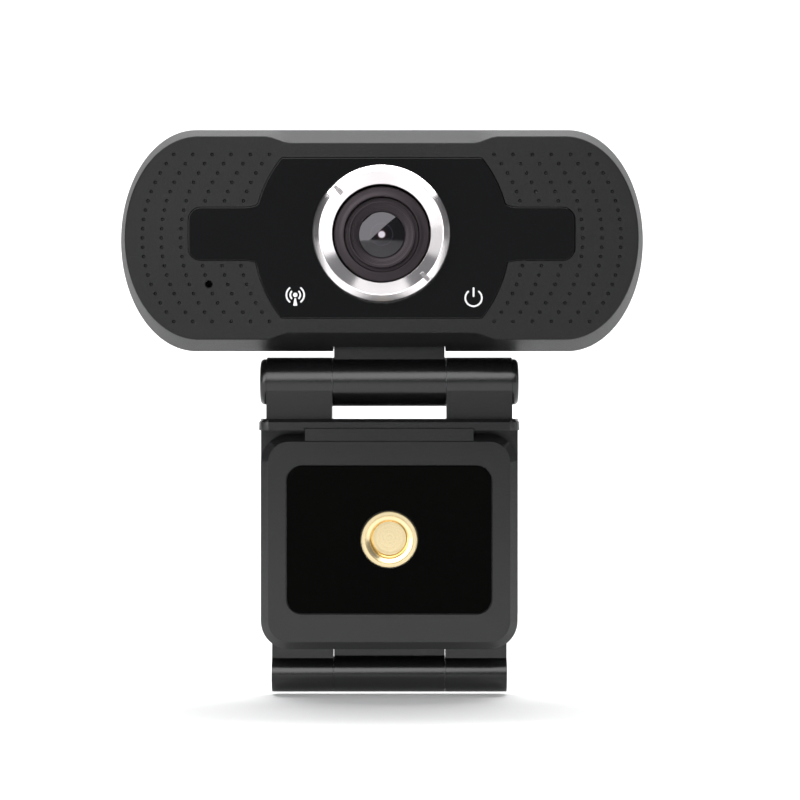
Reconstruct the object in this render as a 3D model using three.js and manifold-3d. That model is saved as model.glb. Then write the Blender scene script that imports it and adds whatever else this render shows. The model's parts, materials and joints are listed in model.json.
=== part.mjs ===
// A webcam with a folding clip: a flat rounded head with a manual focus lens, a screwed friction
// hinge under it, a clip plate with two ears and a lip, and a leg that folds flat against the
// plate and carries a brass tripod nut. Millimetres, +Z up, +X to the right, +Y to the back.
import * as THREE from "three";
import { mergeVertices } from "three/addons/utils/BufferGeometryUtils.js";
import Module from "manifold-3d";

const wasm = await Module();
wasm.setup();

// ---------------------------------------------------------------- driving dimensions

const fit = 0.15; // between two moulded parts that seat in each other
const running = 0.1; // between a shaft and what turns on it
const hair = 0.05; // each part's share of a butt joint
const boardFit = 0.1; // between the board and what touches it

// Head
const headWidth = 78.3;
const headHeight = 33.2;
const headEndLength = 11.3; // half axis along X of the elliptical ends
const frontDepth = 6.8; // widest line to front face
const rearDepth = 12; // widest line to back face
const wall = 2;
const frontWall = 2.6;
const faceInset = [1.25, 1.6]; // the face is that much smaller than the widest line, X and Z
const scoopDrop = 1; // the long edges of the face dip by this in their middle
const scoopHalf = 13.5;
const scoopRamp = 3.7;
const tongueDepth = 1.2;
const tongueWall = 0.8;

// Panel on the face: a disc cut flat above and below, with an arm to each side
const panelThickness = 1;
const panelSunk = 0.15;
const panelDiscRadius = 18.9;
const panelHalfHeight = 11.8;
const panelArmReach = 28.5;
const panelArmHalf = 3.9;
const panelArmRise = 0.6; // arms above the disc's centre
const panelTipRadius = 2;
const panelRootRadius = 2.2;

// Lens, on an axis a little above the head's centre
const lensRise = 0.5;
const ringRadius = 10.1;
const ringBore = 7.25;
const ringProud = 4.2; // in front of the panel
const ringTubeWall = 1;
const ringBevel = 1;
const ringBevelDepth = 1.1;
const ringDishDepth = 1.2;
const ringNotchWidth = 0.6;
const ringNotchDepth = 0.6;
const ringNotchReach = 4;
const barrelHeadRadius = 7.05;
const barrelHeadLength = 3;
const barrelRadius = 5.95;
const barrelBore = 4.6;
const barrelFront = 1.1; // barrel front ahead of the face
const barrelLength = 11.9;
const rimGrooveRadius = 5.5;
const rimGrooveDepth = 0.8;
const retainerRadius = 4.95;
const retainerThickness = 1.1;
const retainerSunk = 0.35; // behind the barrel's front
const glassRise = 0.6; // the glass's crown stands that far inside the retainer
const windowRadius = 3.4;
const focusTravel = 0.25; // each way, half a turn of the thread
const frontGlassThickness = 2.2;
const rearGlassThickness = 1.6;

// Electronics
const boardWidth = 46;
const boardHeight = 19;
const boardThickness = 1.2;
const boardFace = 6; // the board's front face behind the widest line
const boardPostInset = [4, 2.3];
const postRadius = 2.2;
const micPlace = [-25.5, -6.8];
const micHoleRadius = 0.5;
const micRadius = 2;
const micLength = 2.2;
const bootWall = 0.8;
const guideRadius = 1.25;
const signalPlace = [-12.75, -8.6];
const powerPlace = [13.55, -8.75];
const ledHeight = 0.8;
const coverScrewX = 31;
const coverPostRadius = 2.8;
const coverHeadSeat = 5; // the screw heads' seat behind the widest line
const pilotFloor = 0.3; // left below each pilot hole
const postRoot = 0.5; // each post starts that far inside the wall
const grommetPlace = [0, -3.5];
const grommetBore = 1.9; // the inlet of the lead, which is not part of the model
const grommetWall = 1;
const grommetFlange = 0.9;

// Hinge under the head
const clipOffset = 1.1; // the clip's centre line stands to the right of the head's
const tiltBarrelRadius = 3.7;
const tiltAxisDepth = 2.05; // behind the head's widest line
const headGap = 0.86; // hinge barrel to head
const neckHalf = 8.3;
const earInner = 8.55;
const earOuter = 18.4;
const capThickness = 1;
const capInset = 0.25;
const tiltBolt = { shank: 1.25, head: 2.3, headLength: 1.8, nutFlats: 5, nutLength: 2 };
const counterboreRadius = 3;
const counterboreDepth = 3.4;
const washerThickness = 0.4;
const washerRadius = 2.6;
const neckWingHalf = 11.5;
const neckWingHeight = 3.4;
const neckWingStep = 1.5; // the wings stop that far short of the neck's back
const neckScrewX = 9.95;
const neckFloorRise = 1.3; // clear of the drafted wall

// Clip plate
const clipWidth = 38.8;
const plateThickness = 3;
const plateCornerRadius = 5;
const lipThickness = 1.7;
const lipChamfer = 0.7;
const lipCornerRadius = 1.6;
const earRise = 5.54; // tilt axis above the lip
const padThickness = 1;
const padProud = 0.1;
const platePad = { width: 30, height: 22, radius: 2 };

// Leg
const legWidth = 38.2;
const legHeight = 32;
const legThickness = 6.8;
const legCornerRadius = 4.2;
const legChamfer = 0.9;
const foldGap = 0.6; // between plate and leg when folded
const lipGap = 0.55; // between leg and lip when folded
const foldBarrelRadius = 2.7;
const foldReach = 4.25; // fold axis to the leg's lower edge
const foldKnuckleInner = 8.4;
const foldKnuckleOuter = 17.65;
const foldPlateKnuckle = 8.25;
const foldPinRadius = 1;
const recess = { width: 30.7, height: 22.2, radius: 2.4, depth: 1, rise: 0.33 };
const facePadThickness = 0.8;
const tab = { width: 25, rise: 0.8, thickness: 1.3, back: 0.15 };
const legWall = 2;
const backThickness = 1.6;
const backMargin = 1.9;
const legScrewInset = 3.2;
const gripPadMargin = [4.2, 5.1]; // the back plate's edge round it, X and Z
const gripPadRadius = 2;

// Tripod nut, 1/4 inch
const nutThreadRadius = 3.175;
const nutRadius = 4.2;
const nutBottom = 0.6;
const nutChamfer = 0.4;
const nutSeatWall = 1.9;
const nutProud = 0.15; // in front of the face pad
const nutEdge = 0.15;

// Screws: radii of the shank and head, and lengths
const coverScrew = { shank: 1, head: 1.9, headLength: 1.3, length: 8.4 };
const boardScrew = { shank: 0.8, head: 1.6, headLength: 1.1, length: 5 };
const neckScrew = { shank: 0.8, head: 1.4, headLength: 1 };
const neckScrewTip = 0.9; // from the front cover's floor
const legScrew = { shank: 0.7, head: 1.4, headLength: 0.7 };

// ---------------------------------------------------------------- places worked out from them

const foldAxisZ = foldBarrelRadius;
const legBottom = foldAxisZ + foldReach;
const legTop = legBottom + legHeight;
const lipBottom = legTop + lipGap;
const lipTop = lipBottom + lipThickness;
const tiltAxisZ = lipTop + earRise;
const headCentreZ = tiltAxisZ + tiltBarrelRadius + headGap + headHeight / 2;

const plateBack = tiltAxisDepth + tiltBarrelRadius;
const plateFront = plateBack - plateThickness;
const legBack = plateFront - foldGap;
const legFront = legBack - legThickness;
const foldAxisY = (plateFront + legBack) / 2;

const faceY = -frontDepth;
const panelFront = faceY + panelSunk;
const ringFront = panelFront - ringProud;
const grommetBack = rearDepth + grommetFlange;
const middleY = (ringFront + grommetBack) / 2;

// ---------------------------------------------------------------- geometry helpers

const circleSteps = 32;
const smallSteps = 12;

// A closed geometry as a solid. Triangles that have shrunk to a line are dropped, and a surface
// that faces inwards is turned round.
function solidFrom(geometry) {
  const bare = geometry.index ? geometry.toNonIndexed() : geometry;
  const placed = new THREE.BufferGeometry();
  placed.setAttribute("position", bare.getAttribute("position"));
  const merged = mergeVertices(placed, 1e-4);
  const index = merged.index.array;
  const kept = [];
  for (let i = 0; i < index.length; i += 3) {
    const [a, b, c] = index.subarray(i, i + 3);
    if (a !== b && b !== c && a !== c) kept.push(a, b, c);
  }
  const vertProperties = merged.attributes.position.array;
  const make = (triVerts) => new wasm.Manifold(new wasm.Mesh({ numProp: 3, vertProperties, triVerts }));
  const solid = make(new Uint32Array(kept));
  return solid.volume() > 0 ? solid : make(new Uint32Array(kept.reverse()));
}

function geometryFrom(solid) {
  const mesh = solid.getMesh();
  const geometry = new THREE.BufferGeometry();
  geometry.setAttribute("position", new THREE.BufferAttribute(mesh.vertProperties, 3));
  geometry.setIndex(new THREE.BufferAttribute(mesh.triVerts, 1));
  geometry.computeVertexNormals();
  return geometry;
}

function extruded(shape, depth, steps, matrix) {
  const options = { depth, bevelEnabled: false, curveSegments: steps };
  return solidFrom(new THREE.ExtrudeGeometry(shape, options).applyMatrix4(matrix));
}

// A shape drawn in X and Z, extruded along Y.
function slab(shape, front, back, steps = 8) {
  const matrix = new THREE.Matrix4().makeRotationX(Math.PI / 2).setPosition(0, back, 0);
  return extruded(shape, back - front, steps, matrix);
}

// A shape drawn in Y and Z, extruded along X.
function bar(shape, left, right, steps = 12) {
  const matrix = new THREE.Matrix4().set(0, 0, 1, left, 1, 0, 0, 0, 0, 1, 0, 0, 0, 0, 0, 1);
  return extruded(shape, right - left, steps, matrix);
}

// A shape drawn in X and Y, extruded along Z.
function prism(shape, low, high, steps = 6) {
  return extruded(shape, high - low, steps, new THREE.Matrix4().makeTranslation(0, 0, low));
}

function block(left, right, front, back, low, high) {
  const geometry = new THREE.BoxGeometry(right - left, back - front, high - low);
  geometry.translate((left + right) / 2, (front + back) / 2, (low + high) / 2);
  return solidFrom(geometry);
}

function rodX(radius, left, right, y = 0, z = 0, steps = smallSteps) {
  const geometry = new THREE.CylinderGeometry(radius, radius, right - left, steps);
  geometry.rotateZ(Math.PI / 2).translate((left + right) / 2, y, z);
  return solidFrom(geometry);
}

function rodY(radius, front, back, x = 0, z = 0, steps = smallSteps) {
  const geometry = new THREE.CylinderGeometry(radius, radius, back - front, steps);
  geometry.translate(x, (front + back) / 2, z);
  return solidFrom(geometry);
}

// A profile of [radius, y] points turned about the Y axis.
function turned(profile, steps = circleSteps) {
  const points = profile.map(([radius, y]) => new THREE.Vector2(radius, y));
  points.push(points[0].clone());
  return solidFrom(new THREE.LatheGeometry(points, steps));
}

function roundedRectangle(width, height, radius, x = 0, y = 0) {
  const [left, right, low, high] = [x - width / 2, x + width / 2, y - height / 2, y + height / 2];
  const shape = new THREE.Shape();
  shape.absarc(right - radius, high - radius, radius, 0, Math.PI / 2);
  shape.absarc(left + radius, high - radius, radius, Math.PI / 2, Math.PI);
  shape.absarc(left + radius, low + radius, radius, Math.PI, 1.5 * Math.PI);
  shape.absarc(right - radius, low + radius, radius, 1.5 * Math.PI, 2 * Math.PI);
  return shape;
}

// Rings of points joined in order, with a fan across each end ring.
function loft(rings) {
  const count = rings[0].length;
  const positions = [];
  const corner = (ring, i) => rings[ring][i % count];
  const middle = (ring) => [0, rings[ring][0][1], 0];
  const last = rings.length - 1;
  for (let i = 0; i < count; i++) {
    positions.push(...middle(0), ...corner(0, i + 1), ...corner(0, i));
    positions.push(...middle(last), ...corner(last, i), ...corner(last, i + 1));
    for (let ring = 0; ring < last; ring++) {
      positions.push(...corner(ring, i), ...corner(ring, i + 1), ...corner(ring + 1, i + 1));
      positions.push(...corner(ring, i), ...corner(ring + 1, i + 1), ...corner(ring + 1, i));
    }
  }
  const geometry = new THREE.BufferGeometry();
  geometry.setAttribute("position", new THREE.Float32BufferAttribute(positions, 3));
  return solidFrom(geometry);
}

function joined(first, ...rest) {
  return rest.reduce((whole, piece) => whole.add(piece), first);
}

function cut(first, ...rest) {
  return rest.reduce((whole, piece) => whole.subtract(piece), first);
}

const mirrored = (makePiece) => [-1, 1].map(makePiece);

// ---------------------------------------------------------------- materials

function material(color, roughness, metalness = 0) {
  return new THREE.MeshStandardMaterial({ color, roughness, metalness });
}

const finishes = {
  shell: material(0x2c2c2d, 0.6),
  clip: material(0x2a2a2b, 0.45),
  gloss: material(0x08080a, 0.08),
  chrome: material(0xd8d8da, 0.15, 1),
  blackMetal: material(0x222122, 0.4, 0.6),
  glass: material(0x8893a0, 0.05),
  brass: material(0xd9b25e, 0.25, 1),
  steel: material(0xb9bcc0, 0.35, 1),
  rubber: material(0x0b0b0b, 0.8),
  board: material(0x15402a, 0.5),
  chip: material(0x1a1a1a, 0.5),
  clear: material(0xe6ecef, 0.15),
};

function place(group, name, finish, solid, position = [0, 0, 0]) {
  const mesh = new THREE.Mesh(geometryFrom(solid), finish);
  mesh.name = name;
  mesh.position.set(...position);
  group.add(mesh);
}

// ---------------------------------------------------------------- head

// The share of the scoop at a place along the head's long edge.
function scoopShare(x) {
  const t = THREE.MathUtils.clamp((scoopHalf + scoopRamp - Math.abs(x)) / scoopRamp, 0, 1);
  return t * t * (3 - 2 * t);
}

// The head's outline at one depth, moved in from its widest line, with its long sides scooped.
function headRing(y, insetX, insetZ, drop = 0) {
  const endSteps = 12;
  const rampSteps = 2;
  const halfHeight = headHeight / 2 - insetZ;
  const endLength = headEndLength - insetX;
  const straight = headWidth / 2 - headEndLength;
  const end = [];
  for (let i = 0; i <= endSteps; i++) {
    const angle = Math.PI * (i / endSteps - 0.5);
    end.push([straight + endLength * Math.cos(angle), halfHeight * Math.sin(angle)]);
  }
  const stations = [];
  for (let i = 0; i <= rampSteps; i++) stations.push(scoopHalf + scoopRamp * (1 - i / rampSteps));
  const side = [...stations, ...stations.map((x) => -x).reverse()];
  const top = side.map((x) => [x, halfHeight - drop * scoopShare(x)]);
  const half = [...end, ...top];
  const outline = [...half, ...half.map(([x, z]) => [-x, -z])];
  return outline.map(([x, z]) => [x, y, z]);
}

// The front cover's outside: a drafted wall, a rounded edge and the flat face.
const frontDraft = [
  [0, 0],
  [0.86, 0.72],
  [0.96, 0.86],
  [1, 1],
];

// The rear cover's outside as [share of the depth, inset]: a wall that rolls into a flat back.
const rearRoll = [
  [0, 0],
  [0.33, 0.45],
  [0.58, 1.3],
  [0.78, 2.7],
  [0.92, 4.6],
  [1, 6.6],
];

function frontRings(inset) {
  return frontDraft.map(([depth, share]) => {
    const [x, z] = faceInset.map((full) => inset + full * share);
    return headRing(-hair - (frontDepth - hair) * depth, x, z, scoopDrop * share);
  });
}

function headCavity() {
  const [insetX, insetZ] = faceInset;
  const frontEnd = headRing(faceY + frontWall, wall + insetX * 0.6, wall + insetZ * 0.6, scoopDrop);
  return loft([frontEnd, headRing(1, wall, wall, 0)]);
}

// The panel's outline, grown by a clearance.
function panelShape(grow = 0) {
  const radius = panelDiscRadius + grow;
  const half = panelHalfHeight + grow;
  const arm = panelArmHalf + grow;
  const root = panelRootRadius - grow;
  const tip = panelTipRadius + grow;
  const tipX = panelArmReach + grow - tip;
  const flat = Math.sqrt(radius ** 2 - half ** 2);
  const topEdge = panelArmRise + arm;
  const lowEdge = panelArmRise - arm;
  const rootCentre = (z) => [Math.sqrt((radius + root) ** 2 - z ** 2), z];
  const [topX, topZ] = rootCentre(topEdge + root);
  const [lowX, lowZ] = rootCentre(lowEdge - root);
  const cutAngle = Math.asin(half / radius);
  const topAngle = Math.atan2(topZ, topX);
  const lowAngle = Math.atan2(lowZ, lowX);
  const right = new THREE.Path();
  right.moveTo(flat, -half);
  right.absarc(0, 0, radius, -cutAngle, lowAngle, false);
  right.absarc(lowX, lowZ, root, lowAngle + Math.PI, Math.PI / 2, true);
  right.absarc(tipX, lowEdge + tip, tip, -Math.PI / 2, 0, false);
  right.absarc(tipX, topEdge - tip, tip, 0, Math.PI / 2, false);
  right.absarc(topX, topZ, root, -Math.PI / 2, topAngle - Math.PI, true);
  right.absarc(0, 0, radius, topAngle, cutAngle, false);
  const half1 = right.getPoints(6);
  const half2 = half1.map((point) => new THREE.Vector2(-point.x, point.y)).reverse();
  return new THREE.Shape([...half1, ...half2]);
}

const boardPosts = mirrored((side) => side * (boardWidth / 2 - boardPostInset[0])).flatMap((x) =>
  mirrored((side) => [x, side * (boardHeight / 2 - boardPostInset[1])]),
);
const ringTubeRadius = ringBore + ringTubeWall;
const cavityFront = faceY + frontWall;
const neckFloor = -(headHeight / 2 - wall) + neckFloorRise;
const neckScrewZ = neckFloor + neckWingHeight / 2;
const neckBack = tiltAxisDepth + tiltBarrelRadius;
const neckFront = tiltAxisDepth - tiltBarrelRadius;
const neckPlaces = mirrored((side) => [clipOffset + side * neckScrewX, neckScrewZ]);
const coverPlaces = mirrored((side) => [side * coverScrewX, 0]);

// A moulded post with a pilot hole, standing on the inside of the front cover.
function post([x, z], radius, pilot, back) {
  return cut(
    rodY(radius, cavityFront - postRoot, back, x, z),
    rodY(pilot, cavityFront + pilotFloor, back + 1, x, z, 12),
  );
}

// The way through a cover's underside for the neck, up to a height inside.
function neckSlot(top) {
  const half = neckHalf + fit;
  return block(clipOffset - half, clipOffset + half, neckFront - fit, neckBack + fit, -headHeight, top);
}

function frontCover() {
  const guideHoles = [signalPlace, powerPlace].map(([x, z]) =>
    rodY(guideRadius + fit, faceY - 1, cavityFront + 1, x, z),
  );
  const posts = [
    ...boardPosts.map((spot) => post(spot, postRadius, boardScrew.shank + hair, boardFace - boardFit)),
    ...neckPlaces.map((spot) => post(spot, postRadius - 0.3, neckScrew.shank + hair, neckFront - boardFit)),
    ...coverPlaces.map((spot) => post(spot, coverPostRadius, coverScrew.shank + hair, -fit)),
  ];
  const rebate = loft([
    headRing(-tongueDepth - fit, wall - tongueWall - fit, wall - tongueWall - fit),
    headRing(1, wall - tongueWall - fit, wall - tongueWall - fit),
  ]);
  const shell = cut(loft(frontRings(0)), headCavity(), rebate);
  return cut(
    joined(shell, ...posts),
    slab(panelShape(fit), faceY - 1, panelFront + panelThickness),
    rodY(ringTubeRadius + fit, faceY - 1, cavityFront + 1, 0, lensRise, circleSteps),
    rodY(micHoleRadius, faceY - 1, cavityFront + 1, ...micPlace, 12),
    ...guideHoles,
    neckSlot(neckFloor + 2 * fit),
  );
}

function rearCover() {
  const rings = rearRoll.map(([depth, inset]) => headRing(hair + (rearDepth - hair) * depth, inset, inset));
  const inside = rearRoll
    .slice(0, -1)
    .map(([depth, inset]) => headRing((rearDepth - wall) * depth, inset + wall, inset + wall));
  inside.push(headRing(rearDepth - wall, rearRoll.at(-1)[1] + wall / 2, rearRoll.at(-1)[1] + wall / 2));
  inside[0] = headRing(-tongueDepth - 1, wall, wall);
  const tongueInset = wall - tongueWall;
  const tongue = loft([
    headRing(-tongueDepth, tongueInset, tongueInset),
    headRing(hair + 0.5, tongueInset, tongueInset),
  ]);
  const shell = cut(joined(loft(rings), tongue), loft(inside));
  const posts = coverPlaces.map(([x, z]) => rodY(coverPostRadius, fit, rearDepth - wall / 2, x, z));
  const holes = coverPlaces.flatMap(([x, z]) => [
    rodY(coverScrew.shank + fit, -1, rearDepth + 1, x, z),
    rodY(coverScrew.head + fit, coverHeadSeat, rearDepth + 1, x, z),
  ]);
  const inlet = rodY(grommetBore + grommetWall + fit, 0, rearDepth + 1, ...grommetPlace, 24);
  return cut(joined(shell, ...posts), ...holes, inlet, neckSlot(neckFloor + neckWingHeight));
}

// A pan head screw along Y: the head's seat at y = 0, the shank towards the front.
function screw({ shank, head, headLength, length }) {
  const tip = shank * 0.4;
  const profile = [
    [0, -length],
    [tip, -length],
    [shank, -length + shank],
    [shank, 0],
    [head, 0],
    [head, headLength * 0.55],
    [head * 0.72, headLength],
    [0, headLength],
  ];
  const slot = head * 0.55;
  const width = head * 0.13;
  const floor = headLength * 0.45;
  return cut(turned(profile, smallSteps), block(-slot, slot, floor, headLength + 1, -width, width));
}

function neck() {
  const profile = new THREE.Shape();
  const low = tiltAxisZ - headCentreZ;
  profile.moveTo(neckFront, neckFloor + neckWingHeight);
  profile.absarc(tiltAxisDepth, low, tiltBarrelRadius, Math.PI, 2 * Math.PI, false);
  profile.lineTo(neckBack, neckFloor + neckWingHeight);
  const wingTop = neckFloor + neckWingHeight;
  const wingBack = neckBack - neckWingStep;
  const wings = block(-neckWingHalf, neckWingHalf, neckFront, wingBack, neckFloor + fit, wingTop);
  const screwHoles = mirrored((side) =>
    rodY(neckScrew.shank + fit, neckFront - 1, neckBack + 1, side * neckScrewX, neckScrewZ, 12),
  );
  return cut(
    joined(bar(profile, -neckHalf, neckHalf), wings),
    rodX(tiltBolt.shank + running, -neckHalf - 1, neckHalf + 1, tiltAxisDepth, low),
    ...screwHoles,
  );
}

function lensRing() {
  const dishInner = ringFront + ringDishDepth;
  const seat = panelFront - hair;
  const tubeBack = cavityFront;
  const ring = turned([
    [ringBore, dishInner],
    [ringRadius - ringBevel, ringFront],
    [ringRadius, ringFront + ringBevelDepth],
    [ringRadius, seat],
    [ringTubeRadius, seat],
    [ringTubeRadius, tubeBack],
    [ringBore, tubeBack],
  ]);
  const notches = mirrored((side) => {
    const reach = new THREE.BoxGeometry(ringNotchWidth, ringNotchDepth * 2, ringNotchReach);
    reach.translate(0, ringFront, ringRadius - ringBevel);
    reach.rotateY((side * Math.PI) / 2 - Math.PI * 0.75);
    return solidFrom(reach);
  });
  return cut(ring, ...notches);
}

const barrelTop = faceY - barrelFront;
const barrelBack = barrelTop + barrelLength;
const retainerTop = barrelTop + retainerSunk;
const glassTop = retainerTop + retainerThickness - glassRise;

function lensBarrel() {
  const shoulder = barrelTop + barrelHeadLength;
  const seat = retainerTop + retainerThickness + hair;
  return turned([
    [retainerRadius + hair, barrelTop + rimGrooveDepth],
    [rimGrooveRadius, barrelTop + rimGrooveDepth],
    [rimGrooveRadius, barrelTop],
    [barrelHeadRadius - 0.25, barrelTop],
    [barrelHeadRadius, barrelTop + 0.25],
    [barrelHeadRadius, shoulder],
    [barrelRadius, shoulder],
    [barrelRadius, barrelBack],
    [barrelBore - 1.2, barrelBack],
    [barrelBore - 1.2, barrelBack - 1],
    [barrelBore, barrelBack - 1],
    [barrelBore, seat],
    [retainerRadius + hair, seat],
  ]);
}

function lensRetainer() {
  const back = retainerTop + retainerThickness;
  return turned([
    [windowRadius, back - 0.3],
    [windowRadius + 0.4, back - 0.55],
    [retainerRadius - 0.5, retainerTop],
    [retainerRadius, retainerTop],
    [retainerRadius, back],
    [windowRadius, back],
  ]);
}

// A lens element with one domed side, apex first.
function lensElement(apex, edge, back, radius) {
  const steps = 5;
  const dome = [];
  for (let i = 0; i <= steps; i++) {
    const share = i / steps;
    dome.push([radius * share, apex + (edge - apex) * share ** 2]);
  }
  return turned([...dome, [radius, back], [0, back]], 32);
}

function buildLens(head) {
  const carrier = new THREE.Group();
  carrier.position.set(0, 0, lensRise);
  head.add(carrier);
  const seat = retainerTop + retainerThickness + focusTravel + hair;
  const frontBack = seat + frontGlassThickness;
  const stop = frontBack + 1.4;
  const rearGlass = barrelBack - 1 - focusTravel - hair - rearGlassThickness;
  const radius = barrelBore - hair;
  place(carrier, "lens_barrel", finishes.blackMetal, lensBarrel());
  place(carrier, "lens_retainer", finishes.blackMetal, lensRetainer());
  place(carrier, "front_lens", finishes.glass, frontLens(seat, frontBack, radius));
  place(carrier, "aperture_stop", finishes.blackMetal, annulus(radius, 1.2, stop, stop + 0.4));
  place(carrier, "rear_lens", finishes.glass, lensElement(rearGlass - 0.5, rearGlass, rearGlass + 1.5, radius));
}

// The front element: its dome stands inside the retainer's window, its rim under the retainer.
function frontLens(seat, back, radius) {
  const dome = windowRadius - hair;
  const top = glassTop;
  return turned(
    [
      [0, top],
      [dome * 0.35, top + 0.05],
      [dome * 0.7, top + 0.2],
      [dome, top + 0.42],
      [dome, seat],
      [radius, seat],
      [radius, back],
      [0, back],
    ],
    32,
  );
}

function annulus(outer, inner, front, back, steps = 32) {
  return turned(
    [
      [inner, front],
      [outer, front],
      [outer, back],
      [inner, back],
    ],
    steps,
  );
}

function buildElectronics(head) {
  const back = boardFace + boardThickness;
  const holderFront = barrelTop + barrelHeadLength + focusTravel + 0.4;
  const holderBase = boardFace - 3.6;
  const holderHalf = 8;
  const chamberHalf = 6.2;
  const board = slab(roundedRectangle(boardWidth, boardHeight, 1), boardFace, back, 4);
  const boardHoles = boardPosts.map(([x, z]) => rodY(boardScrew.shank + fit, 0, back + 1, x, z, 12));
  place(head, "main_board", finishes.board, cut(board, ...boardHoles));
  boardPosts.forEach((spot, i) => {
    place(head, `board_screw_${i + 1}`, finishes.steel, screw(boardScrew), [spot[0], back + hair, spot[1]]);
  });

  const base = block(-holderHalf, holderHalf, holderBase, boardFace - hair, -holderHalf, holderHalf);
  const chamber = block(-chamberHalf, chamberHalf, holderBase + 1, boardFace, -chamberHalf, chamberHalf);
  const tube = rodY(barrelHeadRadius - 0.1, holderFront, holderBase + 0.5, 0, 0, circleSteps);
  const bore = rodY(barrelRadius + running, holderFront - 1, boardFace, 0, 0, circleSteps);
  place(head, "lens_holder", finishes.chip, cut(joined(base, tube), chamber, bore), [0, 0, lensRise]);
  const filter = block(-4, 4, boardFace - 1.5, boardFace - 1.1, -4, 4);
  place(head, "infrared_filter", finishes.glass, filter, [0, 0, lensRise]);
  const sensor = block(-3.2, 3.2, boardFace - 0.9, boardFace - hair, -2.7, 2.7);
  place(head, "image_sensor", finishes.chip, sensor, [0, 0, lensRise]);

  place(head, "controller_chip", finishes.chip, block(6, 13, back + hair, back + 0.95, -3, 4));
  place(head, "crystal", finishes.steel, block(-13, -8, back + hair, back + 1.4, 1, 4.2));
  const header = cut(
    block(-13, -5, back + hair, back + 2.3, -8.6, -4.4),
    block(-12.2, -5.8, back + 1, back + 3, -7.8, -5.2),
  );
  place(head, "lead_header", finishes.clear, header, [0, 0, 0]);

  const guides = { signal: signalPlace, power: powerPlace };
  for (const [name, [x, z]] of Object.entries(guides)) {
    const ledFront = boardFace - ledHeight;
    const front = panelFront + panelThickness + hair;
    place(head, `${name}_light_guide`, finishes.clear, rodY(guideRadius, front, ledFront - 0.4), [x, 0, z]);
    place(head, `${name}_led`, finishes.clear, block(-0.8, 0.8, ledFront, boardFace - hair, -0.6, 0.6), [x, 0, z]);
  }

  const [micX, micZ] = micPlace;
  const micFront = cavityFront + 0.5;
  const boot = annulus(micRadius + bootWall, micRadius + hair, cavityFront + hair, micFront + micLength, 20);
  const bootFloor = annulus(micRadius + bootWall, micHoleRadius, cavityFront + hair, micFront - hair, 20);
  place(head, "microphone_boot", finishes.rubber, joined(boot, bootFloor), [micX, 0, micZ]);
  place(head, "microphone", finishes.steel, rodY(micRadius, micFront, micFront + micLength - 0.2), [micX, 0, micZ]);
}

function cordGrommet() {
  const tube = grommetBore + grommetWall;
  const flange = tube + 1.1;
  const inner = rearDepth - wall - fit;
  return turned(
    [
      [grommetBore, inner - grommetFlange],
      [flange, inner - grommetFlange],
      [flange, inner],
      [tube, inner],
      [tube, rearDepth + fit],
      [flange, rearDepth + fit],
      [flange - 0.35, grommetBack],
      [grommetBore + 0.3, grommetBack],
      [grommetBore, grommetBack - 0.3],
    ],
    24,
  );
}

function buildHead() {
  const head = new THREE.Group();
  head.position.set(0, 0, headCentreZ);
  place(head, "front_cover", finishes.shell, frontCover());
  const panelHole = rodY(ringTubeRadius + fit, faceY - 1, 0, 0, lensRise, circleSteps);
  const panel = slab(panelShape(), panelFront, panelFront + panelThickness - hair);
  place(head, "front_panel", finishes.gloss, cut(panel, panelHole));
  place(head, "lens_ring", finishes.chrome, lensRing(), [0, 0, lensRise]);
  place(head, "rear_cover", finishes.shell, rearCover());
  place(head, "cord_grommet", finishes.rubber, cordGrommet(), [grommetPlace[0], 0, grommetPlace[1]]);
  place(head, "neck", finishes.clip, neck(), [clipOffset, 0, 0]);
  coverPlaces.forEach(([x, z], i) => {
    place(head, `cover_screw_${i + 1}`, finishes.steel, screw(coverScrew), [x, coverHeadSeat + hair, z]);
  });
  const neckScrewSeat = neckBack - neckWingStep + hair;
  const neckScrewLength = neckScrewSeat - cavityFront - neckScrewTip;
  neckPlaces.forEach(([x, z], i) => {
    const fastener = screw({ ...neckScrew, length: neckScrewLength });
    place(head, `neck_screw_${i + 1}`, finishes.steel, fastener, [x, neckScrewSeat, z]);
  });
  buildElectronics(head);
  buildLens(head);
  return head;
}

// ---------------------------------------------------------------- clip plate and upper hinge

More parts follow.
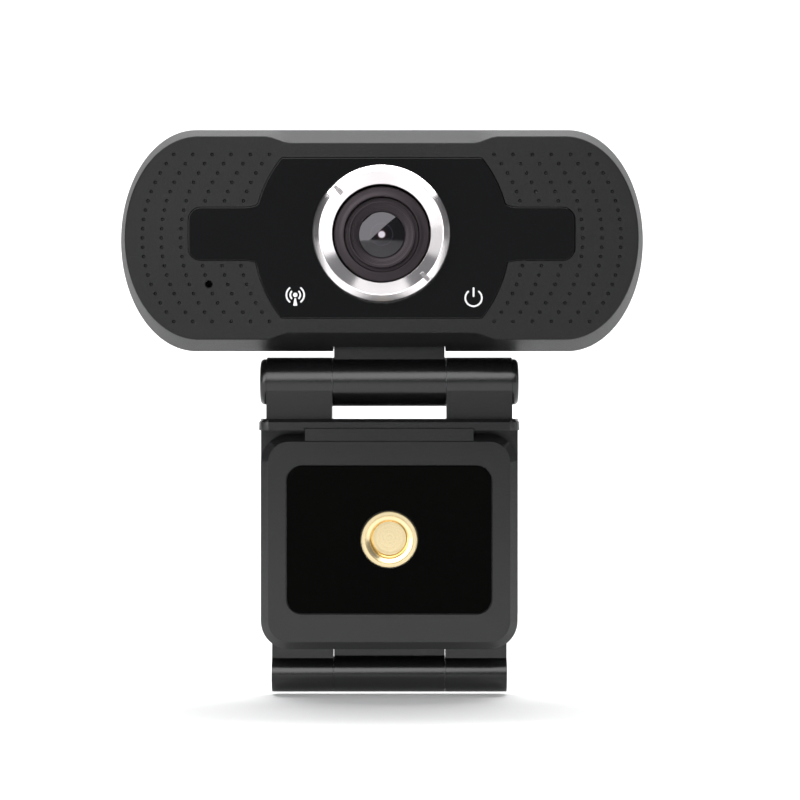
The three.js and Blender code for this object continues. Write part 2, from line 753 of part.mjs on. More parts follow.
function clipPlate() {
  const half = clipWidth / 2;
  const plateHeight = lipTop - legBottom;
  const plate = joined(
    slab(
      roundedRectangle(clipWidth, plateHeight, plateCornerRadius, 0, legBottom + plateHeight / 2),
      plateFront,
      plateBack,
    ),
    block(-half, half, plateFront, plateBack, lipTop - plateCornerRadius - 1, lipTop),
  );
  const lipPlan = roundedRectangle(clipWidth, plateBack - legFront, lipCornerRadius, 0, (plateBack + legFront) / 2);
  const chamferTool = new THREE.Shape();
  chamferTool.moveTo(legFront - 1, lipTop - lipChamfer - 1);
  chamferTool.lineTo(legFront + lipChamfer + 1, lipTop + 1);
  chamferTool.lineTo(legFront - 1, lipTop + 1);
  const notch = block(
    -tab.width / 2 - fit,
    tab.width / 2 + fit,
    legFront - 1,
    legFront + tab.back + tab.thickness + fit,
    lipBottom - 1,
    legTop + tab.rise + fit,
  );
  const lip = cut(prism(lipPlan, lipBottom, lipTop), bar(chamferTool, -half - 1, half + 1), notch);

  const earProfile = new THREE.Shape();
  earProfile.moveTo(neckBack, lipBottom + 0.5);
  earProfile.absarc(tiltAxisDepth, tiltAxisZ, tiltBarrelRadius, 0, Math.PI, false);
  earProfile.lineTo(neckFront, lipBottom + 0.5);
  const ears = mirrored((side) => {
    const ends = [side * earInner, side * earOuter].sort((a, b) => a - b);
    return bar(earProfile, ...ends);
  });
  const at = [tiltAxisDepth, tiltAxisZ];
  const bores = mirrored((side) => {
    const through = [side * (earInner - 1), side * (earOuter + 1)].sort((a, b) => a - b);
    const counter = [side * (earOuter - counterboreDepth), side * (earOuter + 1)].sort((a, b) => a - b);
    const washer = [side * (earInner - 1), side * (neckHalf + fit + washerThickness)].sort((a, b) => a - b);
    return joined(
      rodX(tiltBolt.shank + running, ...through, ...at),
      rodX(counterboreRadius, ...counter, ...at, 24),
      rodX(washerRadius + fit, ...washer, ...at, 24),
    );
  });

  const knuckle = joined(
    rodX(foldBarrelRadius, -foldPlateKnuckle, foldPlateKnuckle, foldAxisY, foldAxisZ, 24),
    block(
      -foldPlateKnuckle,
      foldPlateKnuckle,
      plateFront,
      foldAxisY + foldBarrelRadius,
      foldAxisZ,
      legBottom + 1,
    ),
  );
  const pinBore = rodX(foldPinRadius + running / 2, -half, half, foldAxisY, foldAxisZ);
  const padSeat = slab(
    roundedRectangle(platePad.width + 2 * fit, platePad.height + 2 * fit, platePad.radius, 0, padCentreZ),
    plateFront - 1,
    plateFront + padThickness - padProud,
    4,
  );
  return cut(joined(plate, lip, ...ears, knuckle), ...bores, pinBore, padSeat);
}

const padCentreZ = (legBottom + legTop) / 2;

// A domed cap with a spigot, covering one end of the hinge bolt. The left one is drawn.
function hingeCap() {
  const radius = tiltBarrelRadius - capInset;
  const round = capThickness * 0.6;
  const profile = [
    [0, -capThickness],
    [radius - round, -capThickness],
    [radius - round * 0.3, -capThickness + round * 0.35],
    [radius, -capThickness + round],
    [radius, -hair],
    [counterboreRadius - running, -hair],
    [counterboreRadius - running, 1],
    [0, 1],
  ];
  const quarterTurn = new THREE.Matrix4().makeRotationZ(-Math.PI / 2);
  const points = profile.map(([r, y]) => new THREE.Vector2(r, y));
  return solidFrom(new THREE.LatheGeometry(points, 28).applyMatrix4(quarterTurn));
}

function buildClip() {
  const clip = new THREE.Group();
  clip.position.set(clipOffset, 0, 0);
  place(clip, "clip_plate", finishes.clip, clipPlate());
  const padFront = plateFront - padProud;
  const pad = slab(
    roundedRectangle(platePad.width, platePad.height, platePad.radius, 0, padCentreZ),
    padFront,
    padFront + padThickness - hair,
    4,
  );
  place(clip, "plate_pad", finishes.rubber, pad);

  const hinge = new THREE.Group();
  hinge.position.set(0, tiltAxisDepth, tiltAxisZ);
  clip.add(hinge);
  const seat = earOuter - counterboreDepth;
  const head = [-seat - tiltBolt.headLength, -seat - hair];
  const hexSocket = rodX(1.2, head[0] - 1, head[0] + 1, 0, 0, 6);
  const bolt = joined(
    rodX(tiltBolt.head, ...head, 0, 0, 20),
    rodX(tiltBolt.shank, -seat - 0.5, seat + tiltBolt.nutLength + 0.3),
  );
  place(hinge, "tilt_bolt", finishes.steel, cut(bolt, hexSocket));
  const nutCorner = tiltBolt.nutFlats / Math.sqrt(3);
  const nut = cut(
    rodX(nutCorner, seat + hair, seat + tiltBolt.nutLength, 0, 0, 6),
    rodX(tiltBolt.shank + hair, 0, earOuter),
  );
  place(hinge, "tilt_nut", finishes.steel, nut);
  for (const [name, side] of [["left", -1], ["right", 1]]) {
    const ends = [side * (neckHalf + hair), side * (neckHalf + hair + washerThickness)].sort((a, b) => a - b);
    const washer = cut(rodX(washerRadius, ...ends, 0, 0, 24), rodX(tiltBolt.shank + fit, -earOuter, earOuter));
    place(hinge, `tilt_washer_${name}`, finishes.steel, washer);
    const cap = new THREE.Group();
    cap.position.set(side * earOuter, 0, 0);
    cap.rotation.z = side < 0 ? 0 : Math.PI;
    hinge.add(cap);
    place(cap, `hinge_cap_${name}`, finishes.clip, hingeCap());
  }
  const pin = rodX(foldPinRadius, -foldKnuckleOuter + 0.3, foldKnuckleOuter - 0.3);
  place(clip, "fold_pin", finishes.steel, pin, [0, foldAxisY, foldAxisZ]);
  return clip;
}

// ---------------------------------------------------------------- leg

const legMiddleZ = (legBottom + legTop) / 2;
const recessZ = legMiddleZ + recess.rise;
const padFloor = legFront + recess.depth;
const backFront = legBack - backThickness;
const pocketFront = padFloor + legWall;
const nutFront = padFloor - facePadThickness - nutProud;
const nutBack = backFront - 2 * hair;
const backWidth = legWidth - 2 * backMargin;
const backHeight = legHeight - 2 * backMargin;
const legScrewPlaces = mirrored((side) => side * (backWidth / 2 - legScrewInset)).flatMap((x) =>
  mirrored((side) => [x, legMiddleZ + side * (backHeight / 2 - legScrewInset)]),
);
const legScrewSeat = legBack - legScrew.headLength - fit;
const legScrewLength = legScrewSeat - pocketFront - hair;
const gripPad = {
  width: backWidth - 2 * gripPadMargin[0],
  height: backHeight - 2 * gripPadMargin[1],
  radius: gripPadRadius,
};

function legFrame() {
  const chamferRings = [
    [legFront, legChamfer],
    [legFront + legChamfer, 0],
    [legBack, 0],
  ];
  const outline = (inset, y) =>
    roundedRectangle(legWidth - 2 * inset, legHeight - 2 * inset, legCornerRadius - inset, 0, 0)
      .getPoints(7)
      .slice(0, -1)
      .map((point) => [point.x, y, point.y]);
  const body = loft(chamferRings.map(([y, inset]) => outline(inset, y))).translate([0, 0, legMiddleZ]);
  const tabPiece = block(
    -tab.width / 2,
    tab.width / 2,
    legFront + tab.back,
    legFront + tab.back + tab.thickness,
    legTop - 2,
    legTop + tab.rise,
  );
  const knuckles = mirrored((side) => {
    const ends = [side * foldKnuckleInner, side * foldKnuckleOuter].sort((a, b) => a - b);
    return joined(
      rodX(foldBarrelRadius, ...ends, foldAxisY, foldAxisZ, 24),
      block(...ends, foldAxisY - foldBarrelRadius, legBack, foldAxisZ, legBottom + 1),
    );
  });
  const pinBore = rodX(foldPinRadius + running / 2, -legWidth, legWidth, foldAxisY, foldAxisZ);

  const pocketWidth = backWidth - 2 * legWall;
  const pocketHeight = backHeight - 2 * legWall;
  const pocket = slab(roundedRectangle(pocketWidth, pocketHeight, 1.5, 0, legMiddleZ), pocketFront, legBack, 4);
  const seats = [
    rodY(nutRadius + nutSeatWall, pocketFront - 0.5, backFront - fit, 0, recessZ, 32),
    ...legScrewPlaces.map(([x, z]) => rodY(1.9, pocketFront - 0.5, backFront - hair, x, z)),
  ];
  const backSeat = slab(
    roundedRectangle(backWidth + 2 * fit, backHeight + 2 * fit, 2.5, 0, legMiddleZ),
    backFront,
    legBack + 1,
    5,
  );
  const padSeat = slab(
    roundedRectangle(recess.width, recess.height, recess.radius, 0, recessZ),
    legFront - 1,
    padFloor,
    6,
  );
  const pilots = legScrewPlaces.map(([x, z]) => rodY(legScrew.shank + hair, pocketFront, legBack, x, z, 12));
  return cut(
    joined(cut(joined(body, tabPiece, ...knuckles), pocket, backSeat), ...seats),
    padSeat,
    rodY(nutRadius + hair, legFront - 1, legBack, 0, recessZ, 32),
    pinBore,
    ...pilots,
  );
}

function legBackPlate() {
  const plate = slab(roundedRectangle(backWidth, backHeight, 2.4, 0, legMiddleZ), backFront + hair, legBack, 5);
  const padSeat = slab(
    roundedRectangle(gripPad.width + 2 * fit, gripPad.height + 2 * fit, gripPad.radius, 0, legMiddleZ),
    legBack - padThickness + padProud,
    legBack + 1,
    4,
  );
  const holes = legScrewPlaces.flatMap(([x, z]) => [
    rodY(legScrew.shank + fit, backFront - 1, legBack + 1, x, z, 12),
    rodY(legScrew.head + fit, legScrewSeat, legBack + 1, x, z),
  ]);
  return cut(plate, padSeat, ...holes);
}

// A knurled brass insert, open to the front, with a closed end.
function tripodNut() {
  const floor = nutBack - nutBottom;
  return turned(
    [
      [0, floor],
      [nutThreadRadius, floor],
      [nutThreadRadius, nutFront + nutChamfer],
      [nutThreadRadius + nutChamfer, nutFront],
      [nutRadius - nutEdge, nutFront],
      [nutRadius, nutFront + nutEdge],
      [nutRadius, nutBack],
      [0, nutBack],
    ],
    32,
  );
}

function buildLeg() {
  const leg = new THREE.Group();
  leg.position.set(clipOffset, 0, 0);
  place(leg, "leg_frame", finishes.clip, legFrame());
  place(leg, "leg_back", finishes.clip, legBackPlate());
  const facePad = cut(
    slab(
      roundedRectangle(recess.width - 2 * fit, recess.height - 2 * fit, recess.radius - fit, 0, recessZ),
      padFloor - facePadThickness,
      padFloor - hair,
      6,
    ),
    rodY(nutRadius + fit, legFront - 1, legBack, 0, recessZ, 32),
  );
  place(leg, "face_pad", finishes.rubber, facePad);
  place(leg, "tripod_nut", finishes.brass, tripodNut(), [0, 0, recessZ]);
  const gripFront = legBack - padThickness + padProud + hair;
  const grip = slab(
    roundedRectangle(gripPad.width, gripPad.height, gripPad.radius, 0, legMiddleZ),
    gripFront,
    legBack + padProud,
    4,
  );
  place(leg, "grip_pad", finishes.rubber, grip);
  legScrewPlaces.forEach(([x, z], i) => {
    const fastener = screw({ ...legScrew, length: legScrewLength });
    place(leg, `leg_screw_${i + 1}`, finishes.steel, fastener, [x, legScrewSeat + hair, z]);
  });
  return leg;
}

// ---------------------------------------------------------------- the whole webcam

// The origin is below the middle of the whole object, on the level of its lowest point.
const webcam = new THREE.Group();
webcam.position.set(0, -middleY, 0);
webcam.add(buildHead(), buildClip(), buildLeg());

export default webcam;
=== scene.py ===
"""The looks of a webcam with a folding clip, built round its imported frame.

Pieces are modelled in millimetres in the row's frame, and hand_over() brings each to metres.
Head pieces are drawn as seen from the front, with Z towards the viewer, and stood up.
"""
import json
import math

import bmesh
import bpy
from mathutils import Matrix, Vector


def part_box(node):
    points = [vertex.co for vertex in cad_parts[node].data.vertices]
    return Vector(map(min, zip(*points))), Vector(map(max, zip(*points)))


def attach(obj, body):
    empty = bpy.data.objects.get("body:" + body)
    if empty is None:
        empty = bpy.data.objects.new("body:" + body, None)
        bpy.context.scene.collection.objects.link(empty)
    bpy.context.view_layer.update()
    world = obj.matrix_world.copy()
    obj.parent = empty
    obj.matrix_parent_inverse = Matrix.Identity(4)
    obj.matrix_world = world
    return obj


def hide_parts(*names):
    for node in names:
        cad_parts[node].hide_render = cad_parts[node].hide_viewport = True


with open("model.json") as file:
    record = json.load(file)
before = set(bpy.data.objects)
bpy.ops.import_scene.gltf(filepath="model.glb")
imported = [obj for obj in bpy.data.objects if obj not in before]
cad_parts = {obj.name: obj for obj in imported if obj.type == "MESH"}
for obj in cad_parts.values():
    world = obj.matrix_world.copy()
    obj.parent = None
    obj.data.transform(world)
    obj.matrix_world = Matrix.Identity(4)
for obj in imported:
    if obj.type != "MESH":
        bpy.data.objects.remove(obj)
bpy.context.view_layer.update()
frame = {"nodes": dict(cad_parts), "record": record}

# ---------------------------------------------------------------- sizes in millimetres

FRONT_DEPTH = 6.8  # widest line to face
FIT = 0.15  # between two mouldings that seat in each other
SEAT_DEPTH = 0.05  # left under each pad
SEAM = 0.05  # each cover stops this far short of the widest line
HEAD_END = 11.3  # half axis of the head's elliptical ends
FACE_HALF = (37.9, 15.0)
SCOOP_DROP = 1.0
SCOOP_HALF = 13.5
SCOOP_RAMP = 3.7
SHELL = 1.8
BACK_ROLL = 6.6  # how far the back's edge rolls in

PANEL_DISC = 18.9
PANEL_HALF_HEIGHT = 11.8
PANEL_ARM = (28.5, 3.9, 0.6)  # reach, half height, rise
PANEL_TIP = 1.85
PANEL_ROOT = 2.0
PANEL_GAP = 0.1

LENS_RISE = 0.5
RING_RADIUS = 10.1
RING_BORE = 7.25
RING_TUBE = 8.2
RING_PROUD = 4.2
RING_CREST = 9.02
RING_DISH = 1.2  # how deep the dish inside the crest is
NOTCH = (8.2, 10.3, 0.28, 0.75)  # inner and outer end, half width, depth

DIMPLE_RADIUS = 0.27
DIMPLE_ROW = 1.368
DIMPLE_COLUMNS = (35.3, 32.5, 29.65, 26.85, 24.0, 21.2)
DIMPLE_BEND = 18.65  # the columns curve inwards towards the top and bottom by this radius
MIC_HOLE = (-25.5, -6.8)
MIC_RADIUS = 0.5
SIGNAL_MARK = (-12.75, -8.4)
POWER_MARK = (13.55, -8.85)
MARK_HEIGHT = 0.03

TILT_RADIUS = 3.7
NECK_HALF = 8.3
NECK_SLOT_RISE = 3.6  # the slot for it ends this far above the head's underside
NECK_REACH = 8.5  # the neck's barrel nearly touches the ears
STEM_STEP = 2.2  # the stem above the barrel is set back by this
EAR_INNER = 8.55
EAR_OUTER = 18.4
EAR_STEP = 0.27  # the ears' flat front below the barrel is set back by this
FOLD_RADIUS = 2.7
KNUCKLE_HALF = 8.35  # the plate's knuckle nearly touches the leg's
WEB_STEP = 1.6  # the leg's webs are set back behind the front of its knuckles
WEB_RISE = 1.2  # the webs start this far above the fold pin's axis, clear of its bore
LEG_KNUCKLE = (8.4, 17.65)  # each leg knuckle's ends from the clip's middle
PIN_BORE = 1.06
LIP_THICKNESS = 1.7
LIP_GAP = 0.55  # between the leg and the lip when folded
LIP_CORNER = 1.6
LIP_CHAMFER = 0.5
TAB = (25.0, 0.8, 1.3, 0.15)  # width, rise, thickness, set back
PLATE_THICKNESS = 3.0
PLATE_CORNER = 5.0
PAD_CORNER = 2.0
LEG_RADIUS = 4.2
LEG_CHAMFER = 1.15
BACK_MARGIN = 1.9  # the leg's outline round its back plate
RECESS = (30.7, 22.2, 2.4, 1.0)  # width, height, corner, depth
NUT_BORE = 4.25  # the leg's hole for the nut
NUT_BOSS = 6.1
THREAD_PITCH = 1.27
THREAD_EDGE = 0.12


def box(node):
    """A node's lowest and highest corners in millimetres."""
    low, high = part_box(node)
    return Vector(low) * 1000, Vector(high) * 1000


cover_low, cover_high = box("front_cover")
face_y = cover_low.y
parting_y = face_y + FRONT_DEPTH
head_x = (cover_low.x + cover_high.x) / 2
head_z = (cover_low.z + cover_high.z) / 2
head_half = (cover_high.x - head_x, cover_high.z - head_z)
panel_y = box("front_panel")[0].y
lens_z = head_z + LENS_RISE

# ---------------------------------------------------------------- camera, floor and lights


def set_camera():
    """In front of the head, level with the hinge under it, with a long lens."""
    data = bpy.data.cameras.new("camera")
    data.lens = 120
    data.sensor_width = 36
    data.clip_start = 0.01
    camera = bpy.data.objects.new("camera", data)
    bpy.context.scene.collection.objects.link(camera)
    camera.location = (0.0027, parting_y / 1000 - 0.4, 0.044)
    camera.rotation_euler = (math.pi / 2, 0, 0)
    bpy.context.scene.camera = camera


def area_light(name, place, aim, size, brightness, colour=(1, 1, 1)):
    """A softbox, whose face is as bright as that many times a white card in the floor's light."""
    data = bpy.data.lights.new(name, "AREA")
    data.shape = "RECTANGLE"
    data.size, data.size_y = size
    data.energy = brightness * math.pi * size[0] * size[1]
    data.color = colour
    light = bpy.data.objects.new(name, data)
    bpy.context.scene.collection.objects.link(light)
    light.location = place
    direction = Vector(aim) - Vector(place)
    light.rotation_euler = direction.to_track_quat("-Z", "Y").to_euler()
    return light


def set_lights():
    """Softboxes above, to the sides and in front, with a dark gap round the camera for the glossy
    panel, and a wash of light on the backdrop."""
    middle = (0, 0, 0.06)
    area_light("overhead", (0, 0.2, 0.7), middle, (0.7, 0.4), 3.4)
    area_light("front_overhead", (0, -0.27, 0.66), middle, (0.6, 0.2), 1.1)
    area_light("backdrop_wash", (0, 0.35, 1.1), (0, 1.0, 0.35), (2.4, 0.3), 9.0)
    area_light("right_side", (0.62, -0.27, 0.12), middle, (0.3, 0.5), 1.3)
    area_light("left_side", (-0.62, -0.27, 0.12), middle, (0.3, 0.5), 0.7)
    key = area_light("diagonal_key", (-0.21, -0.75, 0.28), middle, (0.36, 1.3), 3.8)
    key.rotation_euler.rotate_axis("Z", math.radians(-45))
    world = bpy.data.worlds.new("studio")
    bpy.context.scene.world = world
    world.use_nodes = True
    background = world.node_tree.nodes["Background"]
    background.inputs["Color"].default_value = (0.92, 0.94, 0.97, 1)
    background.inputs["Strength"].default_value = 0.25
    bpy.context.scene.view_settings.view_transform = "Standard"


# ---------------------------------------------------------------- modelling helpers


def only(obj):
    bpy.ops.object.select_all(action="DESELECT")
    obj.select_set(True)
    bpy.context.view_layer.objects.active = obj


def edit(obj):
    only(obj)
    bpy.ops.object.mode_set(mode="EDIT")
    bpy.ops.mesh.select_mode(type="VERT")


def done():
    bpy.ops.object.mode_set(mode="OBJECT")


def middle_of(item):
    if isinstance(item, bmesh.types.BMVert):
        return item.co
    return sum((vertex.co for vertex in item.verts), Vector()) / len(item.verts)


def choose(obj, kind, test):
    """In edit mode, selects the vertices, edges or faces that pass the test."""
    bpy.ops.mesh.select_mode(type=kind)
    bpy.ops.mesh.select_all(action="DESELECT")
    mesh = bmesh.from_edit_mesh(obj.data)
    items = {"VERT": mesh.verts, "EDGE": mesh.edges, "FACE": mesh.faces}[kind]
    for item in items:
        if test(item):
            item.select_set(True)
    mesh.select_flush_mode()
    bmesh.update_edit_mesh(obj.data)


def seat(obj, turn=(0, 0, 0), at=(0, 0, 0)):
    """Turns a piece about the origin, moves it and bakes both into its mesh."""
    only(obj)
    obj.rotation_euler = [math.radians(angle) for angle in turn]
    obj.location = at
    bpy.ops.object.transform_apply(location=True, rotation=True, scale=True)
    return obj


def outward(obj):
    """Points all faces outwards."""
    edit(obj)
    bpy.ops.mesh.select_all(action="SELECT")
    bpy.ops.mesh.normals_make_consistent(inside=False)
    done()
    return obj


def stood_up(obj, x, z, y=None):
    """Takes a piece drawn from the front to its place on the head's widest line, or at y."""
    return seat(obj, (90, 0, 0), (x, parting_y if y is None else y, z))


def modified(obj, kind, **settings):
    only(obj)
    modifier = obj.modifiers.new(kind.lower(), kind)
    for name, value in settings.items():
        setattr(modifier, name, value)
    bpy.ops.object.modifier_apply(modifier=modifier.name)
    return obj


def combined(obj, operation, tools):
    for tool in tools:
        modified(obj, "BOOLEAN", operation=operation, object=tool, solver="EXACT")
        bpy.data.objects.remove(tool)
    edit(obj)
    bpy.ops.mesh.select_all(action="SELECT")
    bpy.ops.mesh.remove_doubles(threshold=0.002)
    bpy.ops.mesh.dissolve_limited(angle_limit=math.radians(0.3))
    done()
    return obj


def joined(obj, *tools):
    return combined(obj, "UNION", tools)


def cut(obj, *tools):
    return combined(obj, "DIFFERENCE", tools)


def softened(obj, width, segments=2, angle=40):
    return modified(
        obj,
        "BEVEL",
        width=width,
        segments=segments,
        limit_method="ANGLE",
        angle_limit=math.radians(angle),
        miter_outer="MITER_ARC",
    )


def turned(profile, steps=96, ring=False):
    """A disc pulled along (radius, height) points, or for a ring an open loop that comes back to
    its start."""
    bpy.ops.object.select_all(action="DESELECT")
    (radius, height), *rest = profile
    fill = "NOTHING" if ring else "NGON"
    bpy.ops.mesh.primitive_circle_add(vertices=steps, radius=radius, fill_type=fill)
    obj = seat(bpy.context.object, at=(0, 0, height))
    edit(obj)
    bpy.ops.mesh.select_all(action="SELECT")
    for next_radius, next_height in rest + ([profile[0]] if ring else []):
        rise = (0, 0, next_height - height)
        bpy.ops.mesh.extrude_region_move(TRANSFORM_OT_translate={"value": rise})
        scale = next_radius / radius
        bpy.ops.transform.resize(value=(scale, scale, 1), center_override=(0, 0, next_height))
        radius, height = next_radius, next_height
    bpy.ops.mesh.select_all(action="SELECT")
    bpy.ops.mesh.remove_doubles(threshold=0.0005)
    bpy.ops.mesh.normals_make_consistent(inside=False)
    done()
    return obj


def slab(width, height, radius, low, high, x=0, y=0, segments=10):
    """A rounded rectangle in X and Y, pulled from low to high in Z."""
    bpy.ops.object.select_all(action="DESELECT")
    bpy.ops.mesh.primitive_plane_add(size=1)
    obj = bpy.context.object
    obj.scale = (width, height, 1)
    seat(obj, at=(x, y, low))
    edit(obj)
    bpy.ops.mesh.select_all(action="SELECT")
    if radius:
        bpy.ops.mesh.select_mode(type="VERT")
        bpy.ops.mesh.bevel(offset=radius, segments=segments, affect="VERTICES")
        bpy.ops.mesh.select_all(action="SELECT")
    bpy.ops.mesh.extrude_region_move(TRANSFORM_OT_translate={"value": (0, 0, high - low)})
    bpy.ops.mesh.select_all(action="SELECT")
    bpy.ops.mesh.normals_make_consistent(inside=False)
    done()
    return obj


def block(low, high):
    """A plain box between two corners, a start for cuts and joins."""
    bpy.ops.object.select_all(action="DESELECT")
    bpy.ops.mesh.primitive_cube_add(size=1)
    obj = bpy.context.object
    obj.scale = [b - a for a, b in zip(low, high)]
    return seat(obj, at=[(a + b) / 2 for a, b in zip(low, high)])


def bevelled(obj, kind, test, offset, segments):
    """Rounds the edges that pass the test."""
    edit(obj)
    choose(obj, kind, test)
    bpy.ops.mesh.bevel(offset=offset, segments=segments, affect="EDGES")
    done()
    return obj


def along(edge, axis):
    direction = (edge.verts[1].co - edge.verts[0].co).normalized()
    return abs(direction[axis]) > 0.999


def joined_loosely(pieces):
    """Several separate solids as one object."""
    bpy.ops.object.select_all(action="DESELECT")
    for piece in pieces:
        piece.select_set(True)
    bpy.context.view_layer.objects.active = pieces[0]
    bpy.ops.object.join()
    return pieces[0]


def hand_over(obj, name, body, material, *nodes, smooth=30):
    """Names a finished piece, brings it to metres, gives it its finish and body, and hides the nodes it
    stands for.
    """
    outward(obj)
    obj.scale = (0.001, 0.001, 0.001)
    bpy.ops.object.transform_apply(location=True, rotation=True, scale=True)
    bpy.ops.object.shade_smooth_by_angle(angle=math.radians(smooth))
    modified(obj, "WEIGHTED_NORMAL", keep_sharp=True)
    obj.name = name
    obj.data.name = name
    obj.data.materials.clear()
    obj.data.materials.append(material)
    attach(obj, body)
    if nodes:
        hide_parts(*nodes)
    return obj


slot_of = {part["node"]: part["material_slot"] for part in frame["record"]["subparts"]}

# ---------------------------------------------------------------- materials


def linear(code, alpha=1.0):
    """An sRGB hex colour as linear values."""
    values = [int(code[i : i + 2], 16) / 255 for i in (0, 2, 4)]
    return [v / 12.92 if v <= 0.04045 else ((v + 0.055) / 1.055) ** 2.4 for v in values] + [alpha]


def per_mm(size):
    """The texture scale for a pattern of that size in millimetres."""
    return 1000 / size


CLOUDS = 14  # size in millimetres of the soft patches in a moulding's tone
GRAIN_HEIGHT = 0.00005
GROOVE_HEIGHT = 0.00001
WAVES_PER_UNIT = 20  # how many rings the wave texture draws in one unit at scale 1
GLASS_RADIUS = 3.38


def add(tree, kind, inputs=None, **settings):
    """Adds a node with its settings. An input is a value, or an output socket to link."""
    new = tree.nodes.new(kind)
    for name, value in settings.items():
        setattr(new, name, value)
    for name, value in (inputs or {}).items():
        if isinstance(value, bpy.types.NodeSocket):
            tree.links.new(value, new.inputs[name])
        else:
            new.inputs[name].default_value = value
    return new


def finish(name, **sockets):
    """A new material with values set on its shader's own sockets."""
    material = bpy.data.materials.new(name)
    material.use_nodes = True
    shader = material.node_tree.nodes["Principled BSDF"]
    for socket, value in sockets.items():
        shader.inputs[socket.replace("_", " ")].default_value = value
    return material, material.node_tree, shader


def moulded(name, dark, light, grain, depth, roughness, rise=0.02, **sockets):
    """Moulded plastic: a grained skin, a little uneven in tone and gloss."""
    material, tree, shader = finish(name, IOR=1.53, **sockets)
    place = add(tree, "ShaderNodeTexCoord").outputs["Object"]
    fine = add(tree, "ShaderNodeTexNoise", {"Vector": place, "Scale": per_mm(grain), "Detail": 3.0})
    broad = add(tree, "ShaderNodeTexNoise", {"Vector": place, "Scale": per_mm(CLOUDS), "Detail": 2.0})
    both = add(
        tree,
        "ShaderNodeMix",
        {0: 0.3, 2: fine.outputs["Fac"], 3: broad.outputs["Fac"]},
        data_type="FLOAT",
    )
    tone = add(
        tree, "ShaderNodeMapRange", {"Value": both.outputs[0], "From Min": 0.3, "From Max": 0.7}
    ).outputs["Result"]
    colour = add(
        tree, "ShaderNodeMix", {0: tone, 6: linear(dark), 7: linear(light)}, data_type="RGBA"
    )
    tree.links.new(colour.outputs[2], shader.inputs["Base Color"])
    gloss = add(
        tree,
        "ShaderNodeMapRange",
        {"Value": tone, "To Min": roughness - rise, "To Max": roughness + rise},
    )
    tree.links.new(gloss.outputs["Result"], shader.inputs["Roughness"])
    bump = add(
        tree,
        "ShaderNodeBump",
        {"Height": fine.outputs["Fac"], "Strength": depth, "Distance": GRAIN_HEIGHT},
    )
    tree.links.new(bump.outputs["Normal"], shader.inputs["Normal"])
    return material


def turned_metal(name, colour, roughness, centre, groove, strength):
    """Metal with the fine rings that a lathe leaves round an axis from front to back."""
    material, tree, shader = finish(name, Base_Color=linear(colour), Metallic=1.0)
    place = add(tree, "ShaderNodeTexCoord").outputs["Object"]
    centred = add(
        tree, "ShaderNodeMapping", {"Vector": place, "Location": [-v / 1000 for v in centre]}
    )
    rings = add(
        tree,
        "ShaderNodeTexWave",
        {
            "Vector": centred.outputs["Vector"],
            "Scale": per_mm(groove) / WAVES_PER_UNIT,
            "Distortion": 0.4,
            "Detail": 2.0,
            "Detail Scale": 4.0,
        },
        wave_type="RINGS",
        rings_direction="Y",
    )
    gloss = add(
        tree,
        "ShaderNodeMapRange",
        {"Value": rings.outputs["Fac"], "To Min": roughness * 0.8, "To Max": roughness * 1.25},
    )
    tree.links.new(gloss.outputs["Result"], shader.inputs["Roughness"])
    bump = add(
        tree,
        "ShaderNodeBump",
        {"Height": rings.outputs["Fac"], "Strength": strength, "Distance": GROOVE_HEIGHT},
    )
    tree.links.new(bump.outputs["Normal"], shader.inputs["Normal"])
    return material


def smudged(name, colour, roughness, spots, **sockets):
    """A polished surface whose gloss wavers softly, as handled plastic, metal or glass does."""
    material, tree, shader = finish(name, Base_Color=linear(colour), **sockets)
    place = add(tree, "ShaderNodeTexCoord").outputs["Object"]
    noise = add(
        tree,
        "ShaderNodeTexNoise",
        {"Vector": place, "Scale": per_mm(spots), "Detail": 4.0, "Roughness": 0.6},
    )
    gloss = add(
        tree,
        "ShaderNodeMapRange",
        {"Value": noise.outputs["Fac"], "To Min": roughness * 0.6, "To Max": roughness * 1.4},
    )
    tree.links.new(gloss.outputs["Result"], shader.inputs["Roughness"])
    return material


def painted_light_lens_glass(centre):
    """Opaque coated crown glass with light and shade painted into its colour: painted dark depth where
    the lens's inside would show, a pale painted highlight for a pupil in the middle, a reddish painted
    glint round it and a faint painted reflection ring from an inner element. The violet cast comes
    partly from the painted colours and partly from the coating's tint on its reflections."""
    material = smudged(
        "coated_lens_glass_painted_light", "020203", 0.03, 3, IOR=1.6, Specular_Tint=linear("f1edf4")
    )
    tree = material.node_tree
    shader = tree.nodes["Principled BSDF"]
    place = add(tree, "ShaderNodeTexCoord").outputs["Object"]
    flat = add(tree, "ShaderNodeVectorMath", {0: place, 1: (1, 0, 1)}, operation="MULTIPLY")
    middle = (centre[0] / 1000, 0, centre[2] / 1000)
    away = add(
        tree, "ShaderNodeVectorMath", {0: flat.outputs["Vector"], 1: middle}, operation="DISTANCE"
    )
    share = add(
        tree, "ShaderNodeMapRange", {"Value": away.outputs["Value"], "From Max": GLASS_RADIUS / 1000}
    )
    # painted light and shade by distance from the lens's middle: a pale painted highlight for the pupil,
    # a reddish painted glint ring, painted dark depth, a faint painted reflection ring, and darker
    # painted depth towards the rim
    depth = add(tree, "ShaderNodeValToRGB", {"Fac": share.outputs["Result"]})
    painted_light_stops = [(0, "c9c3cc"), (0.12, "c9c3cc"), (0.17, "2b1216"), (0.24, "060507"), (0.44, "060507")]
    painted_light_stops += [(0.48, "24222a"), (0.52, "060507"), (0.8, "030304")]
    colours = depth.color_ramp
    for position, code in painted_light_stops[1:-1]:
        colours.elements.new(position)
    for element, (position, code) in zip(colours.elements, painted_light_stops):
        element.position = position
        element.color = linear(code)
    tree.links.new(depth.outputs["Color"], shader.inputs["Base Color"])
    return material


